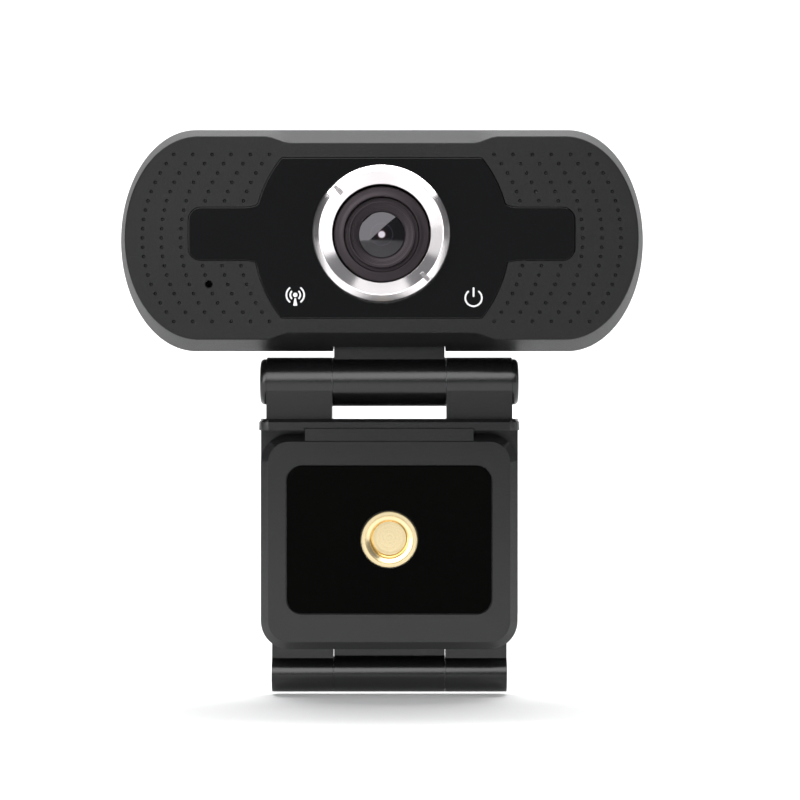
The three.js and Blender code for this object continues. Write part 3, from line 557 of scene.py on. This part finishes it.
def make_finishes():
    lens_centre = (head_x, 0, lens_z)
    nut_low, nut_high = box("tripod_nut")
    nut_centre = ((nut_low.x + nut_high.x) / 2, 0, (nut_low.z + nut_high.z) / 2)
    return {
        # grained ABS: the head's covers look matt, near black, with a fine even sparkle
        "head_plastic": moulded(
            "grained_abs_black", "0b0b0b", "161617", 0.22, 0.6, 0.5, Specular_IOR_Level=0.26
        ),
        # satin glass-filled nylon: the clip's soft bright lines along each rounded edge
        "clip_plastic": moulded("satin_nylon_black", "0d0d0e", "131314", 0.3, 0.12, 0.22),
        # polished acrylic: a black mirror with faintly wavering reflections
        "gloss_panel": smudged("polished_acrylic_black", "070708", 0.05, 9, IOR=1.49),
        # chrome plate: the lens ring mirrors the softboxes, nearly white
        "chrome": smudged("polished_chrome_plate", "e8e3e4", 0.18, 5, Metallic=1.0),
        # anodised aluminium: the lens barrel's warm dark grey with lathe rings
        "black_metal": turned_metal(
            "black_anodised_aluminium", "3a3538", 0.36, lens_centre, 0.12, 0.35
        ),
        # coated glass: painted dark depth with a pale painted highlight for the pupil, a reddish painted
        # glint and one faint painted reflection ring, with a violet cast
        "glass": painted_light_lens_glass(lens_centre),
        # turned brass: the tripod nut's pale gold rim and threads
        "brass": turned_metal("turned_brass", "f4e0b2", 0.2, nut_centre, 0.1, 0.08),
        # zinc plate: screws and pins, cool bright grey and slightly uneven
        "steel": smudged("zinc_plated_steel", "b4b7bb", 0.3, 0.8, Metallic=1.0),
        # silicone: the pads swallow light, the darkest things on the clip
        "rubber": moulded(
            "matt_silicone_black", "010101", "030302", 0.35, 0.3, 0.85, Specular_IOR_Level=0.05
        ),
        # solder mask: green board inside the head
        "circuit_board": smudged("green_solder_mask", "17452c", 0.35, 1.5, IOR=1.5),
        # filled resin: chips and the lens holder, dull black
        "black_moulding": moulded("filled_resin_black", "141415", "1d1d1e", 0.15, 0.3, 0.6),
        # polycarbonate: clear light guides that pick up the light round them
        "clear_plastic": smudged(
            "clear_polycarbonate", "e8eef0", 0.1, 2, IOR=1.58, Transmission_Weight=0.9
        ),
        # unpigmented nylon: the small white connector on the board
        "white_plastic": moulded("natural_nylon_white", "d5d2c8", "dedbd2", 0.4, 0.1, 0.5),
        # screen printing ink: the two flat pale marks on the panel
        "white_ink": moulded("screen_printed_white_ink", "e4e4e6", "ececee", 0.05, 0.1, 0.5),
        # matt paint: the studio's floor and backdrop
        "studio_white": finish("painted_studio_white", Base_Color=linear("f4f4f4"), Roughness=0.9)[0],
    }


# ---------------------------------------------------------------- head


def head_ring():
    """The head's widest outline as a loop of edges: the halves of an ellipse set apart, and the
    long edges between them divided finely enough for the scoops."""
    bpy.ops.object.select_all(action="DESELECT")
    steps = 112
    bpy.ops.mesh.primitive_circle_add(vertices=steps, radius=1)
    obj = seat(bpy.context.object, (0, 0, 180 / steps))
    obj.scale = (HEAD_END, head_half[1], 1)
    seat(obj)
    edit(obj)
    straight = head_half[0] - HEAD_END
    for side in (-1, 1):
        choose(obj, "VERT", lambda vertex: vertex.co.x * side > 0 and abs(vertex.co.x) < HEAD_END + 1)
        bpy.ops.transform.translate(value=(side * straight, 0, 0))
    choose(obj, "EDGE", lambda edge: edge.calc_length() > straight)
    bpy.ops.mesh.subdivide(number_cuts=63)
    done()
    return obj


def scoop_share(x):
    t = min(max((SCOOP_HALF + SCOOP_RAMP - abs(x)) / SCOOP_RAMP, 0), 1)
    return t * t * (3 - 2 * t)


def scoop(obj, heights):
    """Lets the middle of the long sides dip, column by column, more and more towards the face."""
    columns = {round(abs(vertex.co.x), 2) for vertex in obj.data.vertices}
    inner = sorted(x for x in columns if 0 < scoop_share(x))
    groups = {}
    for x in inner:
        groups.setdefault(round(scoop_share(x), 4), []).append(x)
    edit(obj)
    for height in heights:
        for share, xs in groups.items():
            low, high = min(xs) - 0.02, max(xs) + 0.02
            for side in (-1, 1):
                choose(
                    obj,
                    "VERT",
                    lambda v: abs(v.co.z - height) < 0.01 and low < abs(v.co.x) < high
                    and v.co.y * side > 0,
                )
                drop = SCOOP_DROP * share * height / FRONT_DEPTH
                bpy.ops.transform.translate(value=(0, -side * drop, 0))
    done()


def pulled(obj, stations):
    """Pulls the selected loop through (height, half width, half height) stations."""
    edit(obj)
    bpy.ops.mesh.select_all(action="SELECT")
    height, wide, tall = stations[0]
    for next_height, next_wide, next_tall in stations[1:]:
        rise = (0, 0, next_height - height)
        bpy.ops.mesh.extrude_region_move(TRANSFORM_OT_translate={"value": rise})
        scale = (next_wide / wide, next_tall / tall, 1)
        bpy.ops.transform.resize(value=scale, center_override=(0, 0, next_height))
        height, wide, tall = next_height, next_wide, next_tall
    bpy.ops.mesh.edge_face_add()
    done()
    outward(obj)


def panel_form(low, high, grow=0.0):
    """The panel's outline as a solid: a disc cut flat above and below, with an arm to each side."""
    reach, half, rise = PANEL_ARM
    disc = turned([(PANEL_DISC + grow, low), (PANEL_DISC + grow, high)], steps=160)
    flat = PANEL_HALF_HEIGHT + grow
    far = PANEL_DISC + 5
    disc = combined(disc, "INTERSECT", [block((-far, -flat, low - 1), (far, flat, high + 1))])
    arms = slab(2 * (reach + grow), 2 * (half + grow), PANEL_TIP + grow, low, high, y=rise)
    form = joined(disc, arms)

    def corner(edge, levels):
        place = middle_of(edge)
        at_disc = abs(math.hypot(place.x, place.y) - PANEL_DISC - grow) < 0.2
        return along(edge, 2) and at_disc and min(abs(place.y - level) for level in levels) < 0.01

    def root(edge):
        return corner(edge, (rise + half + grow, rise - half - grow))

    def flat_corner(edge):
        return corner(edge, (flat, -flat))

    bevelled(form, "EDGE", root, PANEL_ROOT - grow, 8)
    bevelled(form, "EDGE", flat_corner, 0.5, 4)
    return form


def neck_slot():
    """Where the neck leaves the head: a slot through the underside of both covers."""
    neck_low, neck_high = box("neck")
    x = (neck_low.x + neck_high.x) / 2
    underside = head_z - head_half[1]
    low = (x - NECK_HALF - FIT, neck_low.y - FIT, underside - 5)
    high = (x + NECK_HALF + FIT, neck_high.y + FIT, underside + NECK_SLOT_RISE)
    return block(low, high)


def dimple_places():
    """Curved columns of dimples to each side of the panel."""
    for side in (-1, 1):
        for row in range(-9, 10):
            z = row * DIMPLE_ROW
            inwards = DIMPLE_BEND - math.sqrt(DIMPLE_BEND**2 - z**2)
            beside_arm = -2 <= row <= 3
            for column, reach in enumerate(DIMPLE_COLUMNS):
                if beside_arm and column > 2:
                    continue
                if (side, row, column) == (-1, -5, 3):
                    continue  # the microphone hole stands here
                yield side * (reach - inwards), z


def dimple_tools(height):
    """Round cutters, one for each dimple, as one object."""
    bpy.ops.object.select_all(action="DESELECT")
    bpy.ops.mesh.primitive_uv_sphere_add(segments=12, ring_count=6, radius=DIMPLE_RADIUS)
    obj = bpy.context.object
    edit(obj)
    bpy.ops.mesh.delete(type="VERT")
    for x, y in dimple_places():
        bpy.ops.mesh.primitive_uv_sphere_add(
            segments=12, ring_count=6, radius=DIMPLE_RADIUS, location=(x, y, height)
        )
    done()
    return obj


def make_front_cover(finishes):
    obj = head_ring()
    steps = 4
    stations = [
        (
            SEAM + (FRONT_DEPTH - SEAM) * i / steps,
            head_half[0] + (FACE_HALF[0] - head_half[0]) * i / steps,
            head_half[1] + (FACE_HALF[1] - head_half[1]) * i / steps,
        )
        for i in range(steps + 1)
    ]
    seat(obj, at=(0, 0, SEAM))
    pulled(obj, stations)
    scoop(obj, [station[0] for station in stations[1:]])
    bevelled(obj, "EDGE", lambda e: middle_of(e).z > FRONT_DEPTH - 0.001 and len(e.link_faces) == 2,
             0.22, 3)
    modified(obj, "SOLIDIFY", thickness=SHELL, offset=-1, use_even_offset=True)
    depth = face_y + FRONT_DEPTH - panel_y  # the panel's front above the widest line
    recess = panel_form(depth - 1, FRONT_DEPTH + 1, PANEL_GAP)
    bore = turned([(RING_TUBE + FIT, 0), (RING_TUBE + FIT, 9)])
    seat(bore, at=(0, LENS_RISE, 0))
    mic_form = [(MIC_RADIUS, 0), (MIC_RADIUS, FRONT_DEPTH - 0.12), (0.66, FRONT_DEPTH + 0.04), (0.66, 8)]
    mic = turned(mic_form, 32)
    seat(mic, at=(MIC_HOLE[0], MIC_HOLE[1], 0))
    cut(obj, recess, bore, mic, dimple_tools(FRONT_DEPTH))
    stood_up(obj, head_x, head_z)
    cut(obj, neck_slot())
    hand_over(obj, "front_cover_shell", "head", finishes["head_plastic"], "front_cover")


def make_rear_cover(finishes):
    obj = head_ring()
    rear_depth = box("rear_cover")[1].y - parting_y
    steps = 12
    stations = []
    for i in range(steps + 1):
        angle = math.pi / 2 * i / steps
        inset = BACK_ROLL * (1 - math.cos(angle))
        depth = SEAM + (rear_depth - SEAM) * math.sin(angle)
        stations.append((-depth, head_half[0] - inset, head_half[1] - inset))
    seat(obj, at=(0, 0, -SEAM))
    pulled(obj, stations)
    modified(obj, "SOLIDIFY", thickness=SHELL, offset=-1, use_even_offset=True)
    stood_up(obj, head_x, head_z)
    tools = [neck_slot()]
    for number in (1, 2):
        low, high = box(f"cover_screw_{number}")
        x, z = (low.x + high.x) / 2, (low.z + high.z) / 2
        hole = turned([(2.05, -20), (2.05, 0)], 48)
        tools.append(seat(hole, (90, 0, 0), (x, high.y - 1, z)))
    low, high = box("cord_grommet")
    x, z = (low.x + high.x) / 2, (low.z + high.z) / 2
    tools.append(seat(turned([(3.0, -20), (3.0, 5)], 64), (90, 0, 0), (x, parting_y + 5, z)))
    cut(obj, *tools)
    hand_over(obj, "rear_cover_shell", "head", finishes["head_plastic"], "rear_cover")


def make_panel(finishes):
    front = parting_y - panel_y
    obj = panel_form(front - 0.85, front)
    bore = seat(turned([(RING_TUBE + FIT, 0), (RING_TUBE + FIT, 9)]), at=(0, LENS_RISE, 0))
    cut(obj, bore)
    softened(obj, 0.08, 2, 60)
    stood_up(obj, head_x, head_z)
    hand_over(obj, "gloss_front_panel", "head", finishes["gloss_panel"], "front_panel")


def band(radius, width, kept):
    """A flat band of a ring, where kept says which angles stay, raised by the mark's height."""
    bpy.ops.object.select_all(action="DESELECT")
    bpy.ops.mesh.primitive_circle_add(vertices=72, radius=radius - width / 2)
    obj = bpy.context.object
    edit(obj)
    bpy.ops.mesh.select_all(action="SELECT")
    bpy.ops.mesh.extrude_region_move()
    scale = (radius + width / 2) / (radius - width / 2)
    bpy.ops.transform.resize(value=(scale, scale, 1), center_override=(0, 0, 0))
    choose(obj, "FACE", lambda f: not kept(math.degrees(math.atan2(middle_of(f).y, middle_of(f).x))))
    bpy.ops.mesh.delete(type="FACE")
    bpy.ops.mesh.select_all(action="SELECT")
    bpy.ops.mesh.extrude_region_move(TRANSFORM_OT_translate={"value": (0, 0, MARK_HEIGHT)})
    done()
    return obj


def make_marks(finishes):
    """The two printed marks on the panel: a mast with waves, and the standby sign."""
    top = parting_y - panel_y
    mast = slab(0.62, 1.1, 0.1, 0, MARK_HEIGHT, y=-1.05, segments=3)
    edit(mast)
    choose(mast, "VERT", lambda vertex: vertex.co.y > -0.9)
    bpy.ops.transform.resize(value=(0.42, 1, 1), center_override=(0, -0.7, 0))
    done()
    dot = turned([(0.33, 0), (0.33, MARK_HEIGHT)], 40)
    signal = joined(dot, mast)
    waves = [
        band(radius, 0.25, lambda angle: abs(angle) < spread_angle or abs(angle) > 180 - spread_angle)
        for radius, spread_angle in ((0.74, 48), (1.31, 55))
    ]
    signal = joined_loosely([signal, *waves])
    stood_up(signal, head_x + SIGNAL_MARK[0], head_z + SIGNAL_MARK[1], parting_y - top)
    hand_over(signal, "signal_mark", "head", finishes["white_ink"])

    ring = band(1.22, 0.25, lambda angle: abs(angle - 90) > 34)
    bar = slab(0.27, 1.4, 0.1, 0, MARK_HEIGHT, y=0.86, segments=3)
    power = joined_loosely([ring, bar])
    stood_up(power, head_x + POWER_MARK[0], head_z + POWER_MARK[1], parting_y - top)
    hand_over(power, "power_mark", "head", finishes["white_ink"])


def make_lens_ring(finishes):
    base = -0.02
    tube_end = -(box("lens_ring")[1].y - panel_y)
    obj = turned(
        [
            (RING_BORE, RING_PROUD - RING_DISH - 0.06),
            (RING_BORE + 0.06, RING_PROUD - RING_DISH),
            (8.95, RING_PROUD - 0.06),
            (RING_CREST, RING_PROUD),
            (9.12, RING_PROUD - 0.02),
            (9.92, 3.3),
            (10.04, 3.1),
            (RING_RADIUS, 2.8),
            (RING_RADIUS, 0.25),
            (9.98, 0.05),
            (9.98, base),
            (RING_TUBE, base),
            (RING_TUBE, tube_end),
            (RING_BORE, tube_end),
        ],
        160,
        ring=True,
    )
    notches = []
    for angle in (135, -45):
        inner, outer, half, depth = NOTCH
        notch = block((inner, -half, RING_PROUD - depth), (outer, half, RING_PROUD + 1))
        notches.append(seat(notch, (0, 0, angle)))
    cut(obj, *notches)
    softened(obj, 0.04, 1, 50)
    stood_up(obj, head_x, lens_z, panel_y)
    hand_over(obj, "chrome_lens_ring", "head", finishes["chrome"], "lens_ring", smooth=22)


def make_lens(finishes):
    low, high = box("lens_barrel")
    length = high.y - low.y
    rim = 7.05
    barrel = turned(
        [
            (5.0, -1.4),
            (5.42, -1.4),
            (5.5, -1.3),
            (5.52, -0.12),
            (5.64, 0),
            (6.86, -0.1),
            (7.0, -0.2),
            (rim, -0.36),
            (rim, -3.0),
            (5.95, -3.0),
            (5.95, -length),
            (3.4, -length),
            (3.4, -length + 1),
            (4.6, -length + 1),
            (4.6, -1.55),
            (5.0, -1.55),
        ],
        128,
        ring=True,
    )
    stood_up(barrel, head_x, lens_z, low.y)
    hand_over(barrel, "lens_barrel_turned", "lens_barrel", finishes["black_metal"], "lens_barrel")

    front = box("lens_retainer")[0].y
    steps = 5
    slope = []
    for i in range(steps):
        outer = 4.62 - 1.1 * i / steps
        level = -0.08 - 0.66 * i / steps
        slope += [(outer, level), (outer - 0.13, level - 0.02), (outer - 0.17, level - 0.13)]
    retainer = turned(
        [(4.95, -1.1), (4.95, -0.04), (4.9, 0), (4.68, 0)] + slope + [(3.42, -0.84), (3.42, -1.1)],
        128,
        ring=True,
    )
    stood_up(retainer, head_x, lens_z, front)
    hand_over(retainer, "stepped_retainer", "lens_barrel", finishes["black_metal"], "lens_retainer")

    glass_low, glass_high = box("front_lens")
    dome = 3.38
    sag = 0.5
    rings = 7
    profile = []
    for i in range(rings, 0, -1):
        radius = dome * math.sin(math.pi / 2 * i / rings)
        profile.append((radius, -sag * (radius / dome) ** 2))
    profile.append((0.06, -0.0002))
    depth = glass_high.y - glass_low.y
    glass = turned([(4.5, -depth), (4.5, -1.05), (dome, -1.05), *profile], 96)
    stood_up(glass, head_x, lens_z, glass_low.y)
    hand_over(glass, "front_lens_element", "lens_group", finishes["glass"], "front_lens")


def make_grommet(finishes):
    low, high = box("cord_grommet")
    length = high.y - low.y
    radius = (high.x - low.x) / 2
    obj = turned(
        [
            (1.9, -length),
            (radius, -length),
            (radius, -length + 0.9),
            (2.9, -length + 0.9),
            (2.9, -1.02),
            (radius - 0.02, -1.02),
            (radius, -0.75),
            (radius - 0.22, -0.2),
            (radius - 0.7, 0),
            (2.3, 0),
            (1.98, -0.12),
            (1.9, -0.4),
        ],
        64,
        ring=True,
    )
    seat(obj, (-90, 0, 0), ((low.x + high.x) / 2, high.y, (low.z + high.z) / 2))
    hand_over(obj, "cord_inlet_grommet", "head", finishes["rubber"], "cord_grommet")


def screw_form(head_radius, head_height, shank, length):
    """A pan head screw with a cross recess, head up, its seat at height 0."""
    obj = turned(
        [
            (0.2, -length),
            (shank, -length + shank),
            (shank, 0),
            (head_radius * 0.96, 0),
            (head_radius, 0.08 * head_height),
            (head_radius, 0.45 * head_height),
            (head_radius * 0.93, 0.72 * head_height),
            (head_radius * 0.76, 0.9 * head_height),
            (head_radius * 0.5, head_height),
        ],
        48,
    )
    arm, half = head_radius * 0.56, head_radius * 0.13
    tools = []
    for wide, tall in ((arm, half), (half, arm)):
        tool = block((-wide, -tall, head_height * 0.3), (wide, tall, head_height + 1))
        edit(tool)
        choose(tool, "FACE", lambda face: face.normal.z < -0.9)
        bpy.ops.transform.resize(value=(0.6, 0.6, 1), center_override=(0, 0, 0))
        done()
        tools.append(tool)
    cut(obj, *tools)
    return obj


def make_screws(finishes):
    """The screws that show: two in the rear cover and four in the leg's back."""
    for name, body, head_height, shank, count in (
        ("cover_screw", "head", 1.3, 1.0, 2),
        ("leg_screw", "leg", 0.7, 0.7, 4),
    ):
        first = box(f"{name}_1")
        radius = (first[1].x - first[0].x) / 2
        length = first[1].y - first[0].y - head_height
        model = screw_form(radius, head_height, shank, length)
        for number in range(1, count + 1):
            low, high = box(f"{name}_{number}")
            copy = model.copy()
            copy.data = model.data.copy()
            bpy.context.scene.collection.objects.link(copy)
            turn = 25 * number
            seat(copy, (0, 0, turn))
            seat(copy, (-90, 0, 0), ((low.x + high.x) / 2, high.y - head_height, (low.z + high.z) / 2))
            piece = f"{name}_{number}_pan_head"
            hand_over(copy, piece, body, finishes["steel"], f"{name}_{number}")
        bpy.data.objects.remove(model)


# ---------------------------------------------------------------- neck, clip and hinges


def rod(radius, left, right, y, z, steps=64):
    return seat(turned([(radius, left), (radius, right)], steps), (90, 0, 90), (0, y, z))


def tilt_place():
    low, high = box("hinge_cap_left")
    return (low.y + high.y) / 2, (low.z + high.z) / 2


def make_neck(finishes):
    low, high = box("neck")
    x = (low.x + high.x) / 2
    y, z = tilt_place()
    obj = rod(TILT_RADIUS, x - NECK_REACH, x + NECK_REACH, y, z)
    stem_front = y - TILT_RADIUS + STEM_STEP
    stem = block((x - NECK_HALF, stem_front, z), (x + NECK_HALF, y + TILT_RADIUS, high.z - 0.4))
    wing_low = head_z - head_half[1] + NECK_SLOT_RISE
    wings = block((low.x, low.y, wing_low), (high.x, high.y - 1.6, high.z))
    joined(obj, stem, wings)
    softened(obj, 0.12, 3, 50)
    hand_over(obj, "neck_block", "head", finishes["clip_plastic"], "neck")


def make_clip(finishes):
    low, high = box("clip_plate")
    x = (low.x + high.x) / 2
    width = high.x - low.x
    tilt_y, tilt_z = tilt_place()
    fold_low, fold_high = box("fold_pin")
    fold_y, fold_z = (fold_low.y + fold_high.y) / 2, (fold_low.z + fold_high.z) / 2
    leg_low, leg_high = box("leg_frame")
    back = high.y
    front = back - PLATE_THICKNESS
    leg_bottom = box("leg_back")[0].z - BACK_MARGIN
    lip_low = leg_high.z - TAB[1] + LIP_GAP
    lip_high = lip_low + LIP_THICKNESS

    height = lip_high - leg_bottom
    plate = slab(width, height, 0, 0, PLATE_THICKNESS, y=height / 2)
    bevelled(plate, "EDGE", lambda e: along(e, 2) and middle_of(e).y < 1, PLATE_CORNER, 14)
    seat(plate, (90, 0, 0), (x, back, leg_bottom))

    depth = back - leg_low.y
    lip = slab(width, depth, 0, lip_low, lip_high, x, (back + leg_low.y) / 2)
    bevelled(lip, "EDGE", lambda e: along(e, 2) and middle_of(e).y < front, LIP_CORNER, 8)

    def top_edge(edge):
        place = middle_of(edge)
        return place.z > lip_high - 0.01 and place.y < back - 0.1

    bevelled(lip, "EDGE", top_edge, LIP_CHAMFER, 1)
    ears = []
    for side in (-1, 1):
        left, right = sorted((x + side * EAR_INNER, x + side * EAR_OUTER))
        ears.append(rod(TILT_RADIUS, left, right, tilt_y, tilt_z))
        ear_front = tilt_y - TILT_RADIUS + EAR_STEP
        ears.append(block((left, ear_front, lip_low + 0.4), (right, tilt_y + TILT_RADIUS, tilt_z)))
    knuckle = rod(FOLD_RADIUS, x - KNUCKLE_HALF, x + KNUCKLE_HALF, fold_y, fold_z)
    web_low = (x - KNUCKLE_HALF, front, fold_z + WEB_RISE)
    web = block(web_low, (x + KNUCKLE_HALF, fold_y + FOLD_RADIUS, leg_bottom + 1))
    joined(plate, lip, *ears, knuckle, web)
    reach = TAB[0] / 2 + FIT
    notch = block(
        (x - reach, leg_low.y - 1, lip_low - 1),
        (x + reach, leg_low.y + TAB[3] + TAB[2] + FIT, leg_high.z + FIT),
    )
    pad_low, pad_high = box("plate_pad")
    pad_width, pad_height = pad_high.x - pad_low.x, pad_high.z - pad_low.z
    pad_seat = slab(pad_width + 2 * FIT, pad_height + 2 * FIT, PAD_CORNER + 0.1, 0, 3)
    seat(pad_seat, (90, 0, 0), (x, pad_high.y + SEAT_DEPTH, (pad_low.z + pad_high.z) / 2))
    pin_bore = rod(PIN_BORE, x - 12, x + 12, fold_y, fold_z, 32)
    cut(plate, notch, pad_seat, pin_bore)
    softened(plate, 0.2, 3, 42)
    hand_over(plate, "clip_plate_moulding", "clip", finishes["clip_plastic"], "clip_plate")

    for side, name in ((-1, "left"), (1, "right")):
        low, high = box(f"hinge_cap_{name}")
        radius = (high.z - low.z) / 2
        cap = turned(
            [
                (2.8, -1.0),
                (2.8, 0.05),
                (radius, 0.05),
                (radius, 0.42),
                (radius - 0.06, 0.62),
                (radius - 0.2, 0.82),
                (radius - 0.42, 0.95),
                (radius - 0.7, 1.0),
            ],
            96,
        )
        outer = low.x + 1 if side < 0 else high.x - 1
        seat(cap, (90, 0, 90 * side), (outer, tilt_y, tilt_z))
        hand_over(cap, f"hinge_cap_{name}_domed", "clip", finishes["clip_plastic"], f"hinge_cap_{name}")

    pad = slab(pad_width, pad_height, PAD_CORNER, 0, pad_high.y - pad_low.y)
    seat(pad, (90, 0, 0), (x, pad_high.y, (pad_low.z + pad_high.z) / 2))
    softened(pad, 0.2, 3, 60)
    hand_over(pad, "plate_pad_moulded", "clip", finishes["rubber"], "plate_pad")

    half = (fold_high.x - fold_low.x) / 2
    pin = turned([(0.85, -half), (1.0, -half + 0.15), (1.0, half - 0.15), (0.85, half)], 48)
    seat(pin, (90, 0, 90), ((fold_low.x + fold_high.x) / 2, fold_y, fold_z))
    hand_over(pin, "fold_pin_turned", "clip", finishes["steel"], "fold_pin")


# ---------------------------------------------------------------- leg


def make_leg(finishes):
    low, high = box("leg_frame")
    x = (low.x + high.x) / 2
    width = high.x - low.x
    fold_low, fold_high = box("fold_pin")
    fold_y, fold_z = (fold_low.y + fold_high.y) / 2, (fold_low.z + fold_high.z) / 2
    pad_low, pad_high = box("face_pad")
    back_low, back_high = box("leg_back")
    front = low.y
    back = back_high.y
    bottom = back_low.z - BACK_MARGIN
    top = back_high.z + BACK_MARGIN
    middle = (bottom + top) / 2
    recess_z = (pad_low.z + pad_high.z) / 2
    nut_low, nut_high = box("tripod_nut")

    body = slab(width, top - bottom, LEG_RADIUS, 0, back - front, segments=14)
    rim = back - front
    bevelled(body, "EDGE", lambda e: middle_of(e).z > rim - 0.001 and not along(e, 2), LEG_CHAMFER, 1)
    seat(body, (90, 0, 0), (x, back, middle))
    knuckles = []
    for side in (-1, 1):
        ends = sorted(x + side * end for end in LEG_KNUCKLE)
        knuckles.append(rod(FOLD_RADIUS, *ends, fold_y, fold_z))
        web_low = (ends[0], fold_y - FOLD_RADIUS + WEB_STEP, fold_z + WEB_RISE)
        knuckles.append(block(web_low, (ends[1], back, bottom + 1)))
    tab = block(
        (x - TAB[0] / 2, front + TAB[3], top - 2), (x + TAB[0] / 2, front + TAB[3] + TAB[2], high.z)
    )
    joined(body, *knuckles, tab)

    recess_seat = slab(RECESS[0], RECESS[1], RECESS[2], -5, RECESS[3], segments=10)
    seat(recess_seat, (-90, 0, 0), (x, front, recess_z))
    back_width, back_height = back_high.x - back_low.x, back_high.z - back_low.z
    back_seat = slab(back_width + 2 * FIT, back_height + 2 * FIT, 2.5, 0, 5)
    seat(back_seat, (-90, 0, 0), (x, back_low.y - SEAT_DEPTH, middle))
    pocket = slab(back_width - 4, back_height - 4, 1.5, 0, 5)
    seat(pocket, (-90, 0, 0), (x, front + RECESS[3] + 2, middle))
    cut(body, recess_seat, back_seat, pocket)
    boss = turned([(NUT_BOSS, 0), (NUT_BOSS, 2.6)], 64)
    seat(boss, (-90, 0, 0), (x, front + RECESS[3] + 1.6, recess_z))
    joined(body, boss)
    bore = turned([(NUT_BORE, -9), (NUT_BORE, 9)], 64)
    seat(bore, (90, 0, 0), (x, front, recess_z))
    pin_bore = rod(PIN_BORE, x - 30, x + 30, fold_y, fold_z, 32)
    cut(body, bore, pin_bore)
    softened(body, 0.16, 3, 38)
    hand_over(body, "leg_frame_moulding", "leg", finishes["clip_plastic"], "leg_frame")

    back_plate = slab(back_width, back_height, 2.4, 0, back_high.y - back_low.y)
    seat(back_plate, (-90, 0, 0), (x, back_low.y, middle))
    grip_low, grip_high = box("grip_pad")
    grip_width, grip_height = grip_high.x - grip_low.x, grip_high.z - grip_low.z
    grip_seat = slab(grip_width + 2 * FIT, grip_height + 2 * FIT, PAD_CORNER + 0.1, 0, 4)
    seat(grip_seat, (-90, 0, 0), (x, grip_low.y - SEAT_DEPTH, middle))
    tools = [grip_seat]
    for number in range(1, 5):
        screw_low, screw_high = box(f"leg_screw_{number}")
        place = ((screw_low.x + screw_high.x) / 2, screw_high.y, (screw_low.z + screw_high.z) / 2)
        hole = turned([(0.85, -9), (0.85, -0.75), (1.55, -0.75), (1.55, 3)], 40)
        tools.append(seat(hole, (-90, 0, 0), place))
    cut(back_plate, *tools)
    softened(back_plate, 0.12, 2, 50)
    hand_over(back_plate, "leg_back_plate", "leg", finishes["clip_plastic"], "leg_back")

    grip = slab(grip_width, grip_height, PAD_CORNER, 0, grip_high.y - grip_low.y)
    seat(grip, (-90, 0, 0), (x, grip_low.y, middle))
    softened(grip, 0.2, 3, 60)
    hand_over(grip, "grip_pad_moulded", "leg", finishes["rubber"], "grip_pad")

    pad = slab(pad_high.x - pad_low.x, pad_high.z - pad_low.z, 2.25, 0, pad_high.y - pad_low.y)
    seat(pad, (-90, 0, 0), (x, pad_low.y, recess_z))
    hole = seat(turned([(4.35, -9), (4.35, 9)], 64), (90, 0, 0), (x, pad_low.y, recess_z))
    cut(pad, hole)
    softened(pad, 0.12, 3, 60)
    hand_over(pad, "face_pad_moulded", "leg", finishes["rubber"], "face_pad")

    make_nut(finishes, nut_low, nut_high)


def make_nut(finishes, low, high):
    """The brass nut: a flat rim, a plain counterbore, thread grooves and a blind end."""
    length = high.y - low.y
    radius = (high.x - low.x) / 2
    crest, root = 2.9, 3.25
    thread = []
    level = -0.85
    while level > -length + 1.6:
        thread += [
            (crest + 0.04, level),
            (crest, level - THREAD_EDGE),
            (root, level - THREAD_PITCH / 2),
            (crest, level - THREAD_PITCH + THREAD_EDGE),
        ]
        level -= THREAD_PITCH
    profile = [
        (radius - 0.3, -length),
        (radius, -length + 0.3),
        (radius, -0.12),
        (radius - 0.12, 0),
        (3.56, 0),
        (3.48, -0.08),
        (3.48, -0.7),
    ]
    profile += thread
    profile += [(2.7, -length + 0.75), (2.5, -length + 0.6)]
    obj = turned(profile, 96)
    stood_up(obj, (low.x + high.x) / 2, (low.z + high.z) / 2, low.y)
    hand_over(obj, "tripod_nut_turned", "leg", finishes["brass"], "tripod_nut", smooth=25)


# ---------------------------------------------------------------- stage


def make_stage(finishes):
    """A floor that rolls up into a backdrop."""
    bpy.ops.object.select_all(action="DESELECT")
    bpy.ops.mesh.primitive_plane_add(size=1)
    floor = bpy.context.object
    floor.scale = (6, 3, 1)
    seat(floor, at=(0, -0.5, -0.0005))
    edit(floor)
    choose(floor, "EDGE", lambda edge: middle_of(edge).y > 0.9)
    bpy.ops.mesh.extrude_region_move(TRANSFORM_OT_translate={"value": (0, 0, 2.5)})
    choose(floor, "EDGE", lambda e: middle_of(e).y > 0.9 and abs(middle_of(e).z) < 0.01)
    bpy.ops.mesh.bevel(offset=0.5, segments=16, affect="EDGES")
    done()
    bpy.ops.object.shade_smooth()
    floor.name = "studio_floor"
    floor.data.materials.append(finishes["studio_white"])


def dress_inner_pieces(finishes):
    """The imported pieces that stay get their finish."""
    for name, obj in frame["nodes"].items():
        obj.data.materials.clear()
        obj.data.materials.append(finishes[slot_of[name]])


set_camera()
set_lights()
finishes = make_finishes()
make_stage(finishes)
dress_inner_pieces(finishes)
make_front_cover(finishes)
make_rear_cover(finishes)
make_panel(finishes)
make_marks(finishes)
make_lens_ring(finishes)
make_lens(finishes)
make_grommet(finishes)
make_screws(finishes)
make_neck(finishes)
make_clip(finishes)
make_leg(finishes)
